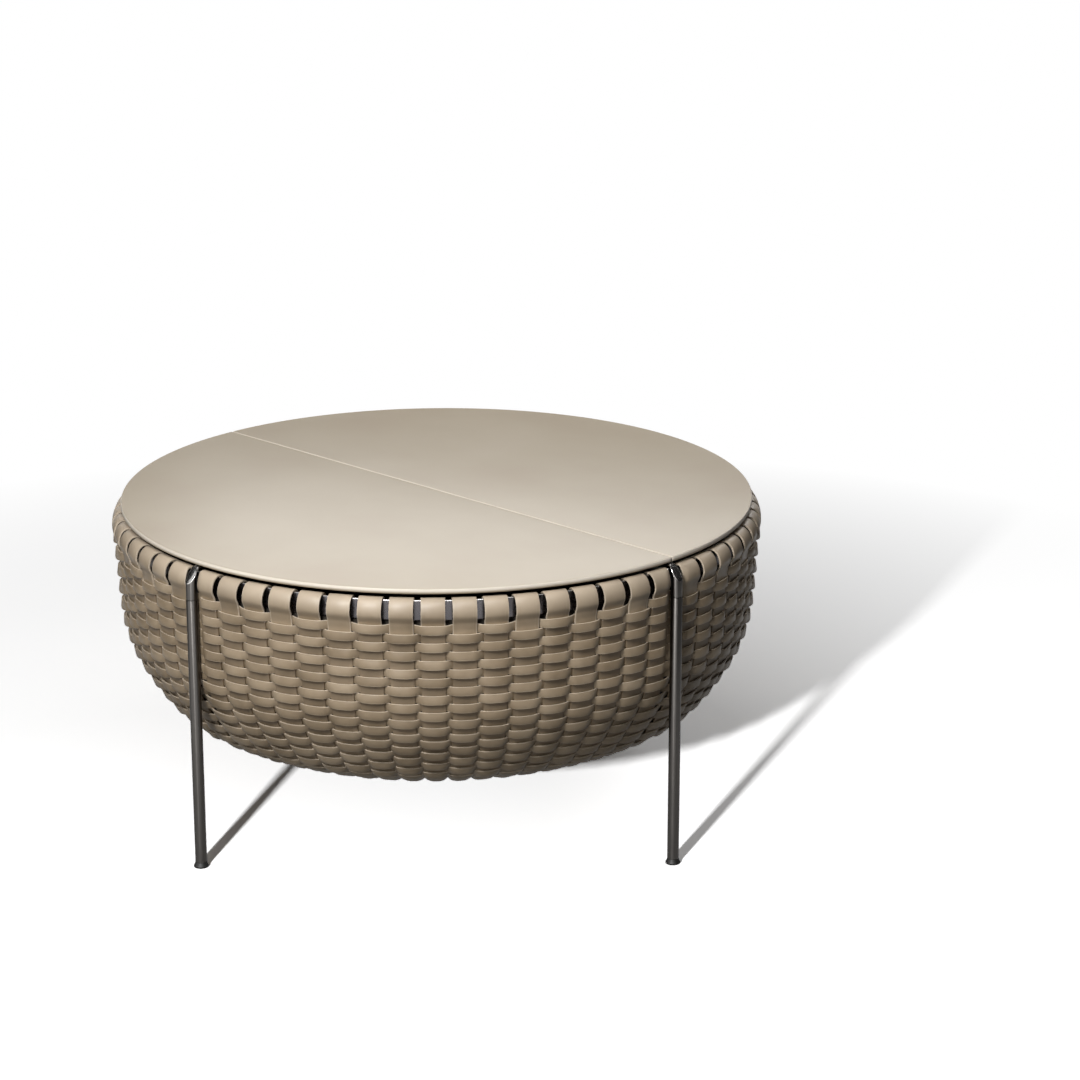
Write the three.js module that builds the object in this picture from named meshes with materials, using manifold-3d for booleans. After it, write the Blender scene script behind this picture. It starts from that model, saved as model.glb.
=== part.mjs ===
// Round low table with a storage bowl woven of leather straps.
// Millimetres, +Z up. The origin is on the floor under the middle of the top.
// The seam between the two half-moon leaves lies along X, and the leaf on the -Y side opens.

import * as THREE from 'three';
import { mergeVertices } from 'three/addons/utils/BufferGeometryUtils.js';
import Module from 'manifold-3d';

const wasm = await Module();
wasm.setup();

// Driving sizes of the whole table
const TABLE_HEIGHT = 480;
const TOP_RADIUS = 490;
const BOWL_DEPTH = 306;
const FIT = 0.3;
const CUT_OVERRUN = 2;

// Top: two leaves, each a thin board wrapped in leather
const LEAF_THICKNESS = 8;
const COVER_LEATHER = 1.3;
const COVER_TURN_IN = 24;
const COVER_EDGE_ROUND = 1.5;
const LEAF_CORNER = 5;
const SEAM_GAP = 0.8;

// Hoop, and the arms and pads that sit between it and the leaves
const HOOP_WALL = 5;
const HOOP_HEIGHT = 34;
const ARM_THICKNESS = 3.5;
const ARM_WIDTH = 12;
const ARM_REACH = 66;
const PAD_THICKNESS = 1.5;
const PAD_LENGTH = 14;

// Legs
const LEG_COUNT = 4;
const SCREWED_LEG = 1;
const TUBE_RADIUS = 9;
const TUBE_WALL = 1.6;
const HEAD_SLIMMING = 0.3;
const HEAD_HEIGHT = 45;
const SPIGOT_LENGTH = 16;
const SLASH_ANGLE = THREE.MathUtils.degToRad(52);
const FOOT_HEIGHT = 8;
const FOOT_RADIUS = 11.5;
const FOOT_LIP = 2.6;
const FOOT_PLUG = 12;

// Woven straps
const WEAVE_BULGE = 12;
const STRAPS_PER_QUARTER = 17;
const STRAP_WIDTH = 34.6;
const STRAP_THICKNESS = 3;
const STRAP_STANDOFF = 1.2;
const LEG_GAP = 28;
const ROW_COUNT = 22;
const ROW_PITCH = 13.6;
const WEAVER_THICKNESS = 2.5;
const LOOP_BULGE = 14.5;
const LOOP_RISE = 26;
const TAIL_DROP = 13;
const TAIL_REACH = 10;
const LEG_HOLLOW = 14;
const BEHIND_LEG = 0.5;

// Liner and base of the bowl
const LINER_WALL = 3;
const LINER_CLEARANCE = 1;
const BASE_PLATE = 5;
const BASE_LAP = 6;
const BASE_PLAY = 8;
const BASE_SCREW_COUNT = 3;
const BASE_SCREW_INSET = 100;

// Beam under the seam
const BEAM_WIDTH = 24;
const BEAM_THICKNESS = 8;
const BEAM_OFFSET = 8;
const SPACER_LENGTH = 30;
const SPACER_INSET = 160;

// Arc hinges, whose links turn about the top edge of the seam
const HINGE_INSET = 300;
const LINK_RADIUS = 20;
const LINK_THICKNESS = 3;
const LINK_WIDTH = 16;
const LINK_HALF_ANGLE = THREE.MathUtils.degToRad(59);
const SLOT_END_ANGLE = THREE.MathUtils.degToRad(60);
const CUP_SIDE = 4.5;
const CUP_FLOOR = 3;
const CUP_BODY = 26;
const EAR_LENGTH = 14;
const EAR_THICKNESS = 4;

// Screws, each with a hexagon head
const SCREW_RADIUS = 2.5;
const SCREW_HEAD_RADIUS = 5;
const SCREW_HEAD_HEIGHT = 3.5;
const HINGE_SCREW_BITE = 3.4;
const HINGE_SCREW_PITCH = 14;
const LEG_BOLT_BITE = 9;
const BEAM_BOLT_BITE = 12;
const HOLE_PLAY = 0.4;

// Face counts
const TOP_ARC_STEPS = 30;
const HOOP_SIDES = 64;
const TUBE_SIDES = 14;
const SCREW_SIDES = 6;
const LINER_SIDES = 32;
const LINK_STEPS = 8;
const UNDERSIDE_RINGS = 2;
const INNER_RINGS = 6;

// Heights worked out from the sizes above
const LEAF_BOTTOM = TABLE_HEIGHT - LEAF_THICKNESS;
const ARM_TOP = LEAF_BOTTOM - FIT - PAD_THICKNESS - FIT;
const ARM_BOTTOM = ARM_TOP - ARM_THICKNESS;
const HOOP_TOP = ARM_BOTTOM - FIT;
const HOOP_BOTTOM = HOOP_TOP - HOOP_HEIGHT;
const HOOP_RADIUS = TOP_RADIUS;
const HOOP_INNER = HOOP_RADIUS - HOOP_WALL;
const HEAD_RADIUS = TUBE_RADIUS - HEAD_SLIMMING;
const LEG_CIRCLE = HOOP_RADIUS + FIT + HEAD_RADIUS;
const HEAD_BOTTOM = HOOP_TOP - HEAD_HEIGHT;
const WEAVE_TOP = HOOP_BOTTOM - STRAP_THICKNESS - FIT;
const BOWL_BOTTOM = WEAVE_TOP - BOWL_DEPTH;
const SKIN_THICKNESS = STRAP_THICKNESS + WEAVER_THICKNESS * 2;
const BASKET_RADIUS = HOOP_RADIUS + WEAVE_BULGE;
const HALF_SEAM = SEAM_GAP / 2;
const SPACER_PLACE = TOP_RADIUS - SPACER_INSET;
const HINGE_PLACE = TOP_RADIUS - HINGE_INSET;
const BOLT_HEIGHT = HOOP_BOTTOM + SCREW_HEAD_RADIUS + CUT_OVERRUN;
const CUP_BOTTOM = TABLE_HEIGHT - LINK_RADIUS - LINK_THICKNESS / 2 - CUP_FLOOR;
const BEAM_TOP = CUP_BOTTOM - FIT;

// Outline of the bowl from the first woven row to its flat bottom,
// as shares of the basket's radius and of the bowl's depth
const BOWL_OUTLINE_SHARES = [
  [1, 0],
  [0.992, 0.126],
  [0.986, 0.288],
  [0.972, 0.468],
  [0.93, 0.637],
  [0.847, 0.828],
  [0.784, 0.897],
  [0.69, 0.955],
  [0.588, 0.986],
  [0.438, 1],
];

// Where the strap loop is sampled, as shares of a quarter turn, outside and inside the hoop
const OUTER_LOOP_SHARES = [0, 0.4, 0.75];
const INNER_LOOP_SHARES = [0.1, 0.6, 1];

const topLeather = material('#c9beb2', 0.5, 0);
const strapLeather = material('#9c8a76', 0.6, 0);
const darkNickel = material('#4b4a49', 0.32, 0.9);
const brightNickel = material('#b9b6b2', 0.28, 1);
const boardWood = material('#8a6f4e', 0.8, 0);
const linerFelt = material('#3f3831', 0.9, 0);
const blackPlastic = material('#1c1b1a', 0.6, 0);
const zincSteel = material('#9a9a98', 0.4, 1);

const table = new THREE.Group();

function material(color, roughness, metalness) {
  return new THREE.MeshStandardMaterial({ color, roughness, metalness });
}

function addMesh(parent, name, geometry, look) {
  const mesh = new THREE.Mesh(geometry, look.clone());
  mesh.name = name;
  parent.add(mesh);
  return mesh;
}

// A group turned about Z, so that a piece drawn along +X is repeated round the table
function turnedGroup(angle) {
  const group = new THREE.Group();
  group.rotation.z = angle;
  table.add(group);
  return group;
}

// Booleans

function toSolid(geometry) {
  const bare = geometry.clone();
  bare.deleteAttribute('normal');
  bare.deleteAttribute('uv');
  const merged = mergeVertices(bare);
  const triVerts = Uint32Array.from(merged.index.array);
  const vertProperties = Float32Array.from(merged.attributes.position.array);
  return new wasm.Manifold(new wasm.Mesh({ numProp: 3, vertProperties, triVerts }));
}

function toGeometry(solid) {
  const mesh = solid.getMesh();
  const geometry = new THREE.BufferGeometry();
  geometry.setAttribute('position', new THREE.BufferAttribute(mesh.vertProperties, 3));
  geometry.setIndex(new THREE.BufferAttribute(mesh.triVerts, 1));
  geometry.computeVertexNormals();
  return geometry;
}

function cutAway(geometry, cutters) {
  return toGeometry(cutters.reduce((rest, cutter) => rest.subtract(toSolid(cutter)), toSolid(geometry)));
}

// Outlines

function shapeOf(points) {
  return new THREE.Shape(points.map(([x, y]) => new THREE.Vector2(x, y)));
}

// A plate whose outline is drawn in the XZ plane, centred on Y
function plateAcrossY(points, width) {
  const geometry = new THREE.ExtrudeGeometry(shapeOf(points), { depth: width, bevelEnabled: false });
  geometry.rotateX(Math.PI / 2);
  geometry.translate(0, width / 2, 0);
  return geometry;
}

// A plate whose outline is drawn in the YZ plane, centred on X
function plateAcrossX(points, width) {
  const geometry = new THREE.ExtrudeGeometry(shapeOf(points), { depth: width, bevelEnabled: false });
  geometry.rotateX(Math.PI / 2);
  geometry.rotateZ(Math.PI / 2);
  geometry.translate(-width / 2, 0, 0);
  return geometry;
}

// A turned piece: the profile holds radius and height pairs, and the axis ends up along Z
function turned(profile, sides) {
  const points = profile.map(([radius, height]) => new THREE.Vector2(radius, height));
  const geometry = new THREE.LatheGeometry(points, sides);
  geometry.rotateX(Math.PI / 2);
  return geometry;
}

function block(length, width, low, high) {
  const geometry = new THREE.BoxGeometry(length, width, high - low);
  geometry.translate(0, 0, (low + high) / 2);
  return geometry;
}

// Screws and their holes: the head is under z = 0 and the shank goes up to the given length

function screwGeometry(length) {
  const profile = [
    [0, -SCREW_HEAD_HEIGHT],
    [SCREW_HEAD_RADIUS, -SCREW_HEAD_HEIGHT],
    [SCREW_HEAD_RADIUS, 0],
    [SCREW_RADIUS, 0],
    [SCREW_RADIUS, length],
    [0, length],
  ];
  return turned(profile, SCREW_SIDES);
}

function holeGeometry(length) {
  const radius = SCREW_RADIUS + HOLE_PLAY;
  const profile = [[0, -CUT_OVERRUN], [radius, -CUT_OVERRUN], [radius, length], [0, length]];
  return turned(profile, SCREW_SIDES);
}

// Top leaves

// Half-moon outline on the +Y side of the seam, drawn in by a margin
function halfMoon(margin) {
  const radius = TOP_RADIUS - margin;
  const straight = HALF_SEAM + margin;
  const corner = Math.max(LEAF_CORNER - margin, FIT);
  const endAngle = Math.asin((straight + corner) / (radius - corner));
  const cornerX = Math.cos(endAngle) * (radius - corner);
  const shape = new THREE.Shape();
  shape.moveTo(-cornerX, straight);
  shape.lineTo(cornerX, straight);
  shape.lineTo(Math.cos(endAngle) * radius, Math.sin(endAngle) * radius);
  for (let step = 1; step <= TOP_ARC_STEPS; step += 1) {
    const angle = endAngle + (Math.PI - endAngle * 2) * (step / TOP_ARC_STEPS);
    shape.lineTo(Math.cos(angle) * radius, Math.sin(angle) * radius);
  }
  return shape;
}

function halfMoonPlate(margin, low, high) {
  const geometry = new THREE.ExtrudeGeometry(halfMoon(margin), { depth: high - low, bevelEnabled: false });
  geometry.translate(0, 0, low);
  return geometry;
}

function coverGeometry() {
  const outer = new THREE.ExtrudeGeometry(halfMoon(COVER_EDGE_ROUND), {
    depth: LEAF_THICKNESS - COVER_EDGE_ROUND * 2,
    bevelThickness: COVER_EDGE_ROUND,
    bevelSize: COVER_EDGE_ROUND,
    bevelSegments: 1,
  });
  outer.translate(0, 0, LEAF_BOTTOM + COVER_EDGE_ROUND);
  const pocket = halfMoonPlate(COVER_LEATHER, LEAF_BOTTOM + COVER_LEATHER, TABLE_HEIGHT - COVER_LEATHER);
  const opening = halfMoonPlate(COVER_TURN_IN, LEAF_BOTTOM - CUT_OVERRUN, TABLE_HEIGHT - COVER_LEATHER);
  return toGeometry(toSolid(outer).subtract(toSolid(pocket)).subtract(toSolid(opening)));
}

const BOARD_BOTTOM = LEAF_BOTTOM + COVER_LEATHER + FIT;
const BOARD_TOP = TABLE_HEIGHT - COVER_LEATHER - FIT;

function boardGeometry() {
  return halfMoonPlate(COVER_LEATHER + FIT, BOARD_BOTTOM, BOARD_TOP);
}

// Where the hinge screws and the leaf screws go into a leaf, on the +Y side
const EAR_START = COVER_TURN_IN + FIT * 2;
const EAR_TOP = BOARD_BOTTOM - FIT;
const EAR_BOTTOM = EAR_TOP - EAR_THICKNESS;
const EAR_SCREW_Y = EAR_START + EAR_LENGTH / 2;
const hingeScrewPlaces = [-HINGE_PLACE, HINGE_PLACE].flatMap((x) => [
  [x - HINGE_SCREW_PITCH / 2, EAR_SCREW_Y],
  [x + HINGE_SCREW_PITCH / 2, EAR_SCREW_Y],
]);
const SPACER_Y = (BEAM_OFFSET + COVER_TURN_IN) / 2;
const spacerPlaces = [[-SPACER_PLACE, SPACER_Y], [SPACER_PLACE, SPACER_Y]];
const ARM_END = LEG_CIRCLE - ARM_REACH;
const ARM_SCREW = (ARM_END + TOP_RADIUS - COVER_TURN_IN) / 2;
const SCREW_TIP = BOARD_BOTTOM + HINGE_SCREW_BITE;

function holeAt([x, y], low, high) {
  const hole = holeGeometry(high - low);
  hole.translate(x, y, low);
  return hole;
}

// Each hole ends just past the tip of its screw
function leafHoles(places) {
  return places.map((place) => holeAt(place, LEAF_BOTTOM, SCREW_TIP + FIT));
}

function addLeaves() {
  const fixedPlaces = [...hingeScrewPlaces, ...spacerPlaces, [0, ARM_SCREW]];
  const fixedBoard = cutAway(boardGeometry(), leafHoles(fixedPlaces));
  addMesh(table, 'fixed_leaf_board', fixedBoard, boardWood);
  const fixedCover = cutAway(coverGeometry(), leafHoles(spacerPlaces));
  addMesh(table, 'fixed_leaf_cover', fixedCover, topLeather);

  const lid = turnedGroup(Math.PI);
  addMesh(lid, 'lid_board', cutAway(boardGeometry(), leafHoles(hingeScrewPlaces)), boardWood);
  addMesh(lid, 'lid_cover', coverGeometry(), topLeather);
}

// Hoop, beam and spacers

function boltHole(height, start, length, angle) {
  const hole = holeGeometry(length);
  hole.rotateY(Math.PI / 2);
  hole.translate(start, 0, height);
  hole.rotateZ(angle);
  return hole;
}

const BEAM_Y = BEAM_OFFSET + BEAM_WIDTH / 2;
const BEAM_BOLT_HEIGHT = BEAM_TOP - BEAM_THICKNESS / 2;
const BEAM_CLEARANCE = FIT * 3;
const BEAM_HALF = Math.sqrt((HOOP_INNER - BEAM_CLEARANCE) ** 2 - (BEAM_OFFSET + BEAM_WIDTH) ** 2);
const beamBoltShares = [-1, 1];

// Head of a beam bolt seats on the hoop just outside its flats
const BEAM_BOLT_SEAT = Math.sqrt(HOOP_RADIUS ** 2 - BEAM_Y ** 2) + FIT;

function beamBoltHole(side) {
  const hole = holeGeometry(BEAM_BOLT_SEAT - BEAM_HALF + BEAM_BOLT_BITE + FIT);
  hole.rotateY(-Math.PI / 2);
  hole.translate(BEAM_BOLT_SEAT, 0, 0);
  if (side < 0) hole.rotateZ(Math.PI);
  hole.translate(0, BEAM_Y, BEAM_BOLT_HEIGHT);
  return hole;
}

function addHoopAndBeam() {
  const profile = [
    [HOOP_INNER, HOOP_BOTTOM],
    [HOOP_RADIUS, HOOP_BOTTOM],
    [HOOP_RADIUS, HOOP_TOP],
    [HOOP_INNER, HOOP_TOP],
    [HOOP_INNER, HOOP_BOTTOM],
  ];
  const legHoles = legAngles().map((angle) => (
    boltHole(BOLT_HEIGHT, HOOP_INNER - HOOP_WALL, HOOP_WALL * 3, angle)
  ));
  const beamHoles = beamBoltShares.map(beamBoltHole);
  const hoop = cutAway(turned(profile, HOOP_SIDES), [...legHoles, ...beamHoles]);
  addMesh(table, 'rim_hoop', hoop, brightNickel);

  const beam = block(BEAM_HALF * 2, BEAM_WIDTH, BEAM_TOP - BEAM_THICKNESS, BEAM_TOP);
  beam.translate(0, BEAM_Y, 0);
  const spacerHoles = spacerPlaces.map((place) => (
    holeAt(place, BEAM_TOP - BEAM_THICKNESS - CUT_OVERRUN, BEAM_TOP + CUT_OVERRUN)
  ));
  addMesh(table, 'cross_beam', cutAway(beam, [...spacerHoles, ...beamHoles]), zincSteel);

  beamBoltShares.forEach((side, index) => {
    const bolt = screwGeometry(BEAM_BOLT_SEAT - BEAM_HALF + BEAM_BOLT_BITE);
    bolt.rotateY(-Math.PI / 2);
    bolt.translate(BEAM_BOLT_SEAT + FIT, 0, 0);
    if (side < 0) bolt.rotateZ(Math.PI);
    bolt.translate(0, BEAM_Y, BEAM_BOLT_HEIGHT);
    addMesh(table, `beam_bolt_${index + 1}`, bolt, zincSteel);
  });

  spacerPlaces.forEach(([x, y], index) => {
    const spacerWidth = COVER_TURN_IN - BEAM_OFFSET - FIT * 2;
    const spacer = block(SPACER_LENGTH, spacerWidth, BEAM_TOP + FIT, LEAF_BOTTOM - FIT);
    const hole = holeGeometry(LEAF_BOTTOM - BEAM_TOP + CUT_OVERRUN);
    hole.translate(0, 0, BEAM_TOP);
    const drilled = cutAway(spacer, [hole]);
    drilled.translate(x, y, 0);
    addMesh(table, `leaf_spacer_${index + 1}`, drilled, boardWood);

    const seat = BEAM_TOP - BEAM_THICKNESS - FIT;
    const screw = screwGeometry(SCREW_TIP - seat);
    screw.translate(x, y, seat);
    addMesh(table, `leaf_screw_${index + 1}`, screw, zincSteel);
  });
}

// Legs

function legAngles() {
  return Array.from({ length: LEG_COUNT }, (_, index) => (index / LEG_COUNT) * Math.PI * 2);
}

// The slash runs from the outside of the head up to the edge of the hoop
const SLASH_TOP_X = HOOP_RADIUS + FIT;
const SLASH_LOW_X = LEG_CIRCLE + HEAD_RADIUS + CUT_OVERRUN;

function slashHeight(x) {
  return ARM_BOTTOM - (x - SLASH_TOP_X) * Math.tan(SLASH_ANGLE);
}

function headGeometry() {
  const profile = [
    [0, HEAD_BOTTOM - SPIGOT_LENGTH],
    [TUBE_RADIUS - TUBE_WALL - FIT, HEAD_BOTTOM - SPIGOT_LENGTH],
    [TUBE_RADIUS - TUBE_WALL - FIT, HEAD_BOTTOM],
    [HEAD_RADIUS, HEAD_BOTTOM],
    [HEAD_RADIUS, ARM_BOTTOM + CUT_OVERRUN],
    [0, ARM_BOTTOM + CUT_OVERRUN],
  ];
  const rod = turned(profile, TUBE_SIDES);
  rod.rotateZ(Math.PI / 2);
  rod.translate(LEG_CIRCLE, 0, 0);
  const above = ARM_BOTTOM + HEAD_HEIGHT;
  const backX = LEG_CIRCLE - HEAD_RADIUS - CUT_OVERRUN;
  const slash = plateAcrossY([
    [backX, slashHeight(backX)],
    [SLASH_LOW_X, slashHeight(SLASH_LOW_X)],
    [SLASH_LOW_X, above],
    [backX, above],
  ], HEAD_RADIUS * 3);
  const bore = boltHole(BOLT_HEIGHT, HOOP_RADIUS, LEG_BOLT_BITE + FIT * 2, 0);
  return cutAway(rod, [slash, bore]);
}

// Bent flat: it lies on the slash, turns over the hoop and goes in under the leaves
function armGeometry() {
  const normalX = Math.sin(SLASH_ANGLE);
  const normalZ = Math.cos(SLASH_ANGLE);
  const lowX = LEG_CIRCLE + HEAD_RADIUS - ARM_THICKNESS;
  const bendX = SLASH_TOP_X + FIT / normalX;
  const topBendX = bendX + ARM_THICKNESS * Math.tan(SLASH_ANGLE / 2);
  const foot = [lowX + FIT * normalX, slashHeight(lowX) + FIT * normalZ];
  const points = [
    foot,
    [foot[0] + ARM_THICKNESS * normalX, foot[1] + ARM_THICKNESS * normalZ],
    [topBendX, ARM_TOP],
    [ARM_END, ARM_TOP],
    [ARM_END, ARM_BOTTOM],
    [bendX, ARM_BOTTOM],
  ];
  return plateAcrossY(points, ARM_WIDTH);
}

function tubeGeometry() {
  const inner = TUBE_RADIUS - TUBE_WALL;
  const low = FOOT_HEIGHT + FIT;
  const high = HEAD_BOTTOM - FIT;
  const profile = [[inner, low], [TUBE_RADIUS, low], [TUBE_RADIUS, high], [inner, high], [inner, low]];
  return turned(profile, TUBE_SIDES);
}

function footGeometry() {
  const plug = TUBE_RADIUS - TUBE_WALL - FIT;
  const profile = [
    [0, 0],
    [FOOT_RADIUS, 0],
    [FOOT_RADIUS, FOOT_LIP],
    [TUBE_RADIUS, FOOT_HEIGHT],
    [plug, FOOT_HEIGHT],
    [plug, FOOT_HEIGHT + FOOT_PLUG],
    [0, FOOT_HEIGHT + FOOT_PLUG],
  ];
  return turned(profile, TUBE_SIDES);
}

function addLegs() {
  const armHole = holeGeometry(ARM_TOP - ARM_BOTTOM + CUT_OVERRUN);
  armHole.translate(ARM_SCREW, 0, ARM_BOTTOM);
  const armLooks = legAngles().map((_, index) => (
    index === SCREWED_LEG ? cutAway(armGeometry(), [armHole]) : armGeometry()
  ));
  legAngles().forEach((angle, index) => {
    const leg = turnedGroup(angle);
    const label = index + 1;
    addMesh(leg, `leg_head_${label}`, headGeometry(), darkNickel);
    addMesh(leg, `leg_arm_${label}`, armLooks[index], darkNickel);

    const tube = addMesh(leg, `leg_tube_${label}`, tubeGeometry(), darkNickel);
    tube.position.x = LEG_CIRCLE;
    const foot = addMesh(leg, `leg_foot_${label}`, footGeometry(), blackPlastic);
    foot.position.x = LEG_CIRCLE;

    const boltSeat = HOOP_INNER - FIT;
    const boltShape = screwGeometry(SLASH_TOP_X - boltSeat + LEG_BOLT_BITE);
    const bolt = addMesh(leg, `leg_bolt_${label}`, boltShape, zincSteel);
    bolt.rotation.y = Math.PI / 2;
    bolt.position.set(boltSeat, 0, BOLT_HEIGHT);

    const pad = block(PAD_LENGTH, ARM_WIDTH, ARM_TOP + FIT, LEAF_BOTTOM - FIT);
    pad.translate(TOP_RADIUS - COVER_TURN_IN / 2, 0, 0);
    addMesh(leg, `rest_pad_${label}`, pad, blackPlastic);
  });

  const seat = ARM_BOTTOM - FIT;
  const armScrew = screwGeometry(SCREW_TIP - seat);
  armScrew.translate(0, ARM_SCREW, seat);
  addMesh(table, `leaf_screw_${spacerPlaces.length + 1}`, armScrew, zincSteel);
}

// Hinges. Angles run about the seam's top edge, with 0 straight down.

function arcPoint(radius, angle) {
  return [Math.sin(angle) * radius, TABLE_HEIGHT - Math.cos(angle) * radius];
}

function arcPlate(inner, outer, from, to, width) {
  const steps = Array.from({ length: LINK_STEPS + 1 }, (_, step) => from + (to - from) * (step / LINK_STEPS));
  const outside = steps.map((angle) => arcPoint(outer, angle));
  const inside = steps.map((angle) => arcPoint(inner, angle)).reverse();
  return plateAcrossX([...outside, ...inside], width);
}

function cupGeometry() {
  const bodyTop = LEAF_BOTTOM - FIT;
  const points = [
    [HALF_SEAM, CUP_BOTTOM],
    [CUP_BODY, CUP_BOTTOM],
    [CUP_BODY, EAR_BOTTOM],
    [EAR_START + EAR_LENGTH, EAR_BOTTOM],
    [EAR_START + EAR_LENGTH, EAR_TOP],
    [EAR_START, EAR_TOP],
    [EAR_START, bodyTop],
    [HALF_SEAM, bodyTop],
  ];
  const cup = plateAcrossX(points, LINK_WIDTH + CUP_SIDE * 2);
  const inner = LINK_RADIUS - LINK_THICKNESS / 2 - FIT;
  const outer = LINK_RADIUS + LINK_THICKNESS / 2 + FIT;
  const slot = arcPlate(inner, outer, -SLOT_END_ANGLE, SLOT_END_ANGLE, LINK_WIDTH + FIT * 2);
  const holes = [-HINGE_SCREW_PITCH / 2, HINGE_SCREW_PITCH / 2].map((x) => (
    holeAt([x, EAR_SCREW_Y], EAR_BOTTOM, EAR_TOP + CUT_OVERRUN)
  ));
  return cutAway(cup, [slot, ...holes]);
}

function addHinges() {
  const lid = turnedGroup(Math.PI);
  const inner = LINK_RADIUS - LINK_THICKNESS / 2;
  const outer = LINK_RADIUS + LINK_THICKNESS / 2;
  [-HINGE_PLACE, HINGE_PLACE].forEach((x, index) => {
    const label = index + 1;
    const fixedCup = addMesh(table, `hinge_fixed_cup_${label}`, cupGeometry(), zincSteel);
    fixedCup.position.x = x;
    const lidCup = addMesh(lid, `hinge_lid_cup_${label}`, cupGeometry(), zincSteel);
    lidCup.position.x = -x;
    const arc = arcPlate(inner, outer, -LINK_HALF_ANGLE, LINK_HALF_ANGLE, LINK_WIDTH);
    const link = addMesh(table, `hinge_link_${label}`, arc, brightNickel);
    link.position.x = x;
  });

  const seat = EAR_BOTTOM - FIT;
  [table, lid].forEach((side, sideIndex) => {
    hingeScrewPlaces.forEach(([x, y], index) => {
      const label = sideIndex * hingeScrewPlaces.length + index + 1;
      const screw = addMesh(side, `hinge_screw_${label}`, screwGeometry(SCREW_TIP - seat), zincSteel);
      screw.position.set(x, y, seat);
    });
  });
}

// Outline of the bowl

const bowlCurve = new THREE.SplineCurve(BOWL_OUTLINE_SHARES.map(([radiusShare, depthShare]) => (
  new THREE.Vector2(radiusShare * BASKET_RADIUS, WEAVE_TOP - depthShare * BOWL_DEPTH)
)));
const BOWL_LENGTH = bowlCurve.getLength();
const BASE_OPENING = bowlCurve.getPoint(1).x;

// Radius and height at a distance down the outline, moved out by an offset
function bowlPoint(distance, offset) {
  const share = Math.min(distance / BOWL_LENGTH, 1);
  const point = bowlCurve.getPointAt(share);
  const along = bowlCurve.getTangentAt(share);
  return [point.x - along.y * offset, point.y + along.x * offset];
}

// Woven skin of the bowl, one closed body with a loop for each upright strap

const QUARTER = Math.PI * 2 / LEG_COUNT;
const FREE_WIDTH = QUARTER * BASKET_RADIUS - STRAPS_PER_QUARTER * STRAP_WIDTH - LEG_GAP;
const STRAP_GAP = FREE_WIDTH / (STRAPS_PER_QUARTER - 1);
const STRAP_SPAN = (STRAP_WIDTH + STRAP_GAP) / BASKET_RADIUS;

function strapColumns() {
  const columns = [];
  const hollow = LEG_HOLLOW / 2 / LEG_CIRCLE;
  for (let quarter = 0; quarter < LEG_COUNT; quarter += 1) {
    const start = quarter * QUARTER;
    const first = start + (QUARTER - STRAPS_PER_QUARTER * STRAP_SPAN) / 2;
    columns.push({ angle: start + hollow });
    for (let strap = 0; strap < STRAPS_PER_QUARTER; strap += 1) {
      const angle = first + (strap + 1 / 2) * STRAP_SPAN;
      columns.push({ angle, strap: quarter * STRAPS_PER_QUARTER + strap });
    }
    columns.push({ angle: start + QUARTER - hollow });
  }
  return columns;
}

// The strap's path over the hoop: radius, height and outward direction at each station
function loopStations() {
  const crestRadius = HOOP_RADIUS - HOOP_WALL / 2;
  const crestHeight = HOOP_TOP + FIT + STRAP_STANDOFF + STRAP_THICKNESS;
  const bulge = LOOP_BULGE + HOOP_WALL / 2;
  const tail = TAIL_REACH + HOOP_WALL / 2;
  const outer = OUTER_LOOP_SHARES.map((share) => [share * Math.PI / 2, bulge, LOOP_RISE]);
  const inner = INNER_LOOP_SHARES.map((share) => [(1 + share) * Math.PI / 2, tail, TAIL_DROP]);
  return [...outer, ...inner].map(([turn, reach, drop]) => {
    const normal = new THREE.Vector2(Math.cos(turn) / reach, Math.sin(turn) / drop).normalize();
    const radius = crestRadius + Math.cos(turn) * reach;
    const height = crestHeight - drop + Math.sin(turn) * drop;
    return { radius, height, normal };
  });
}

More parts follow.
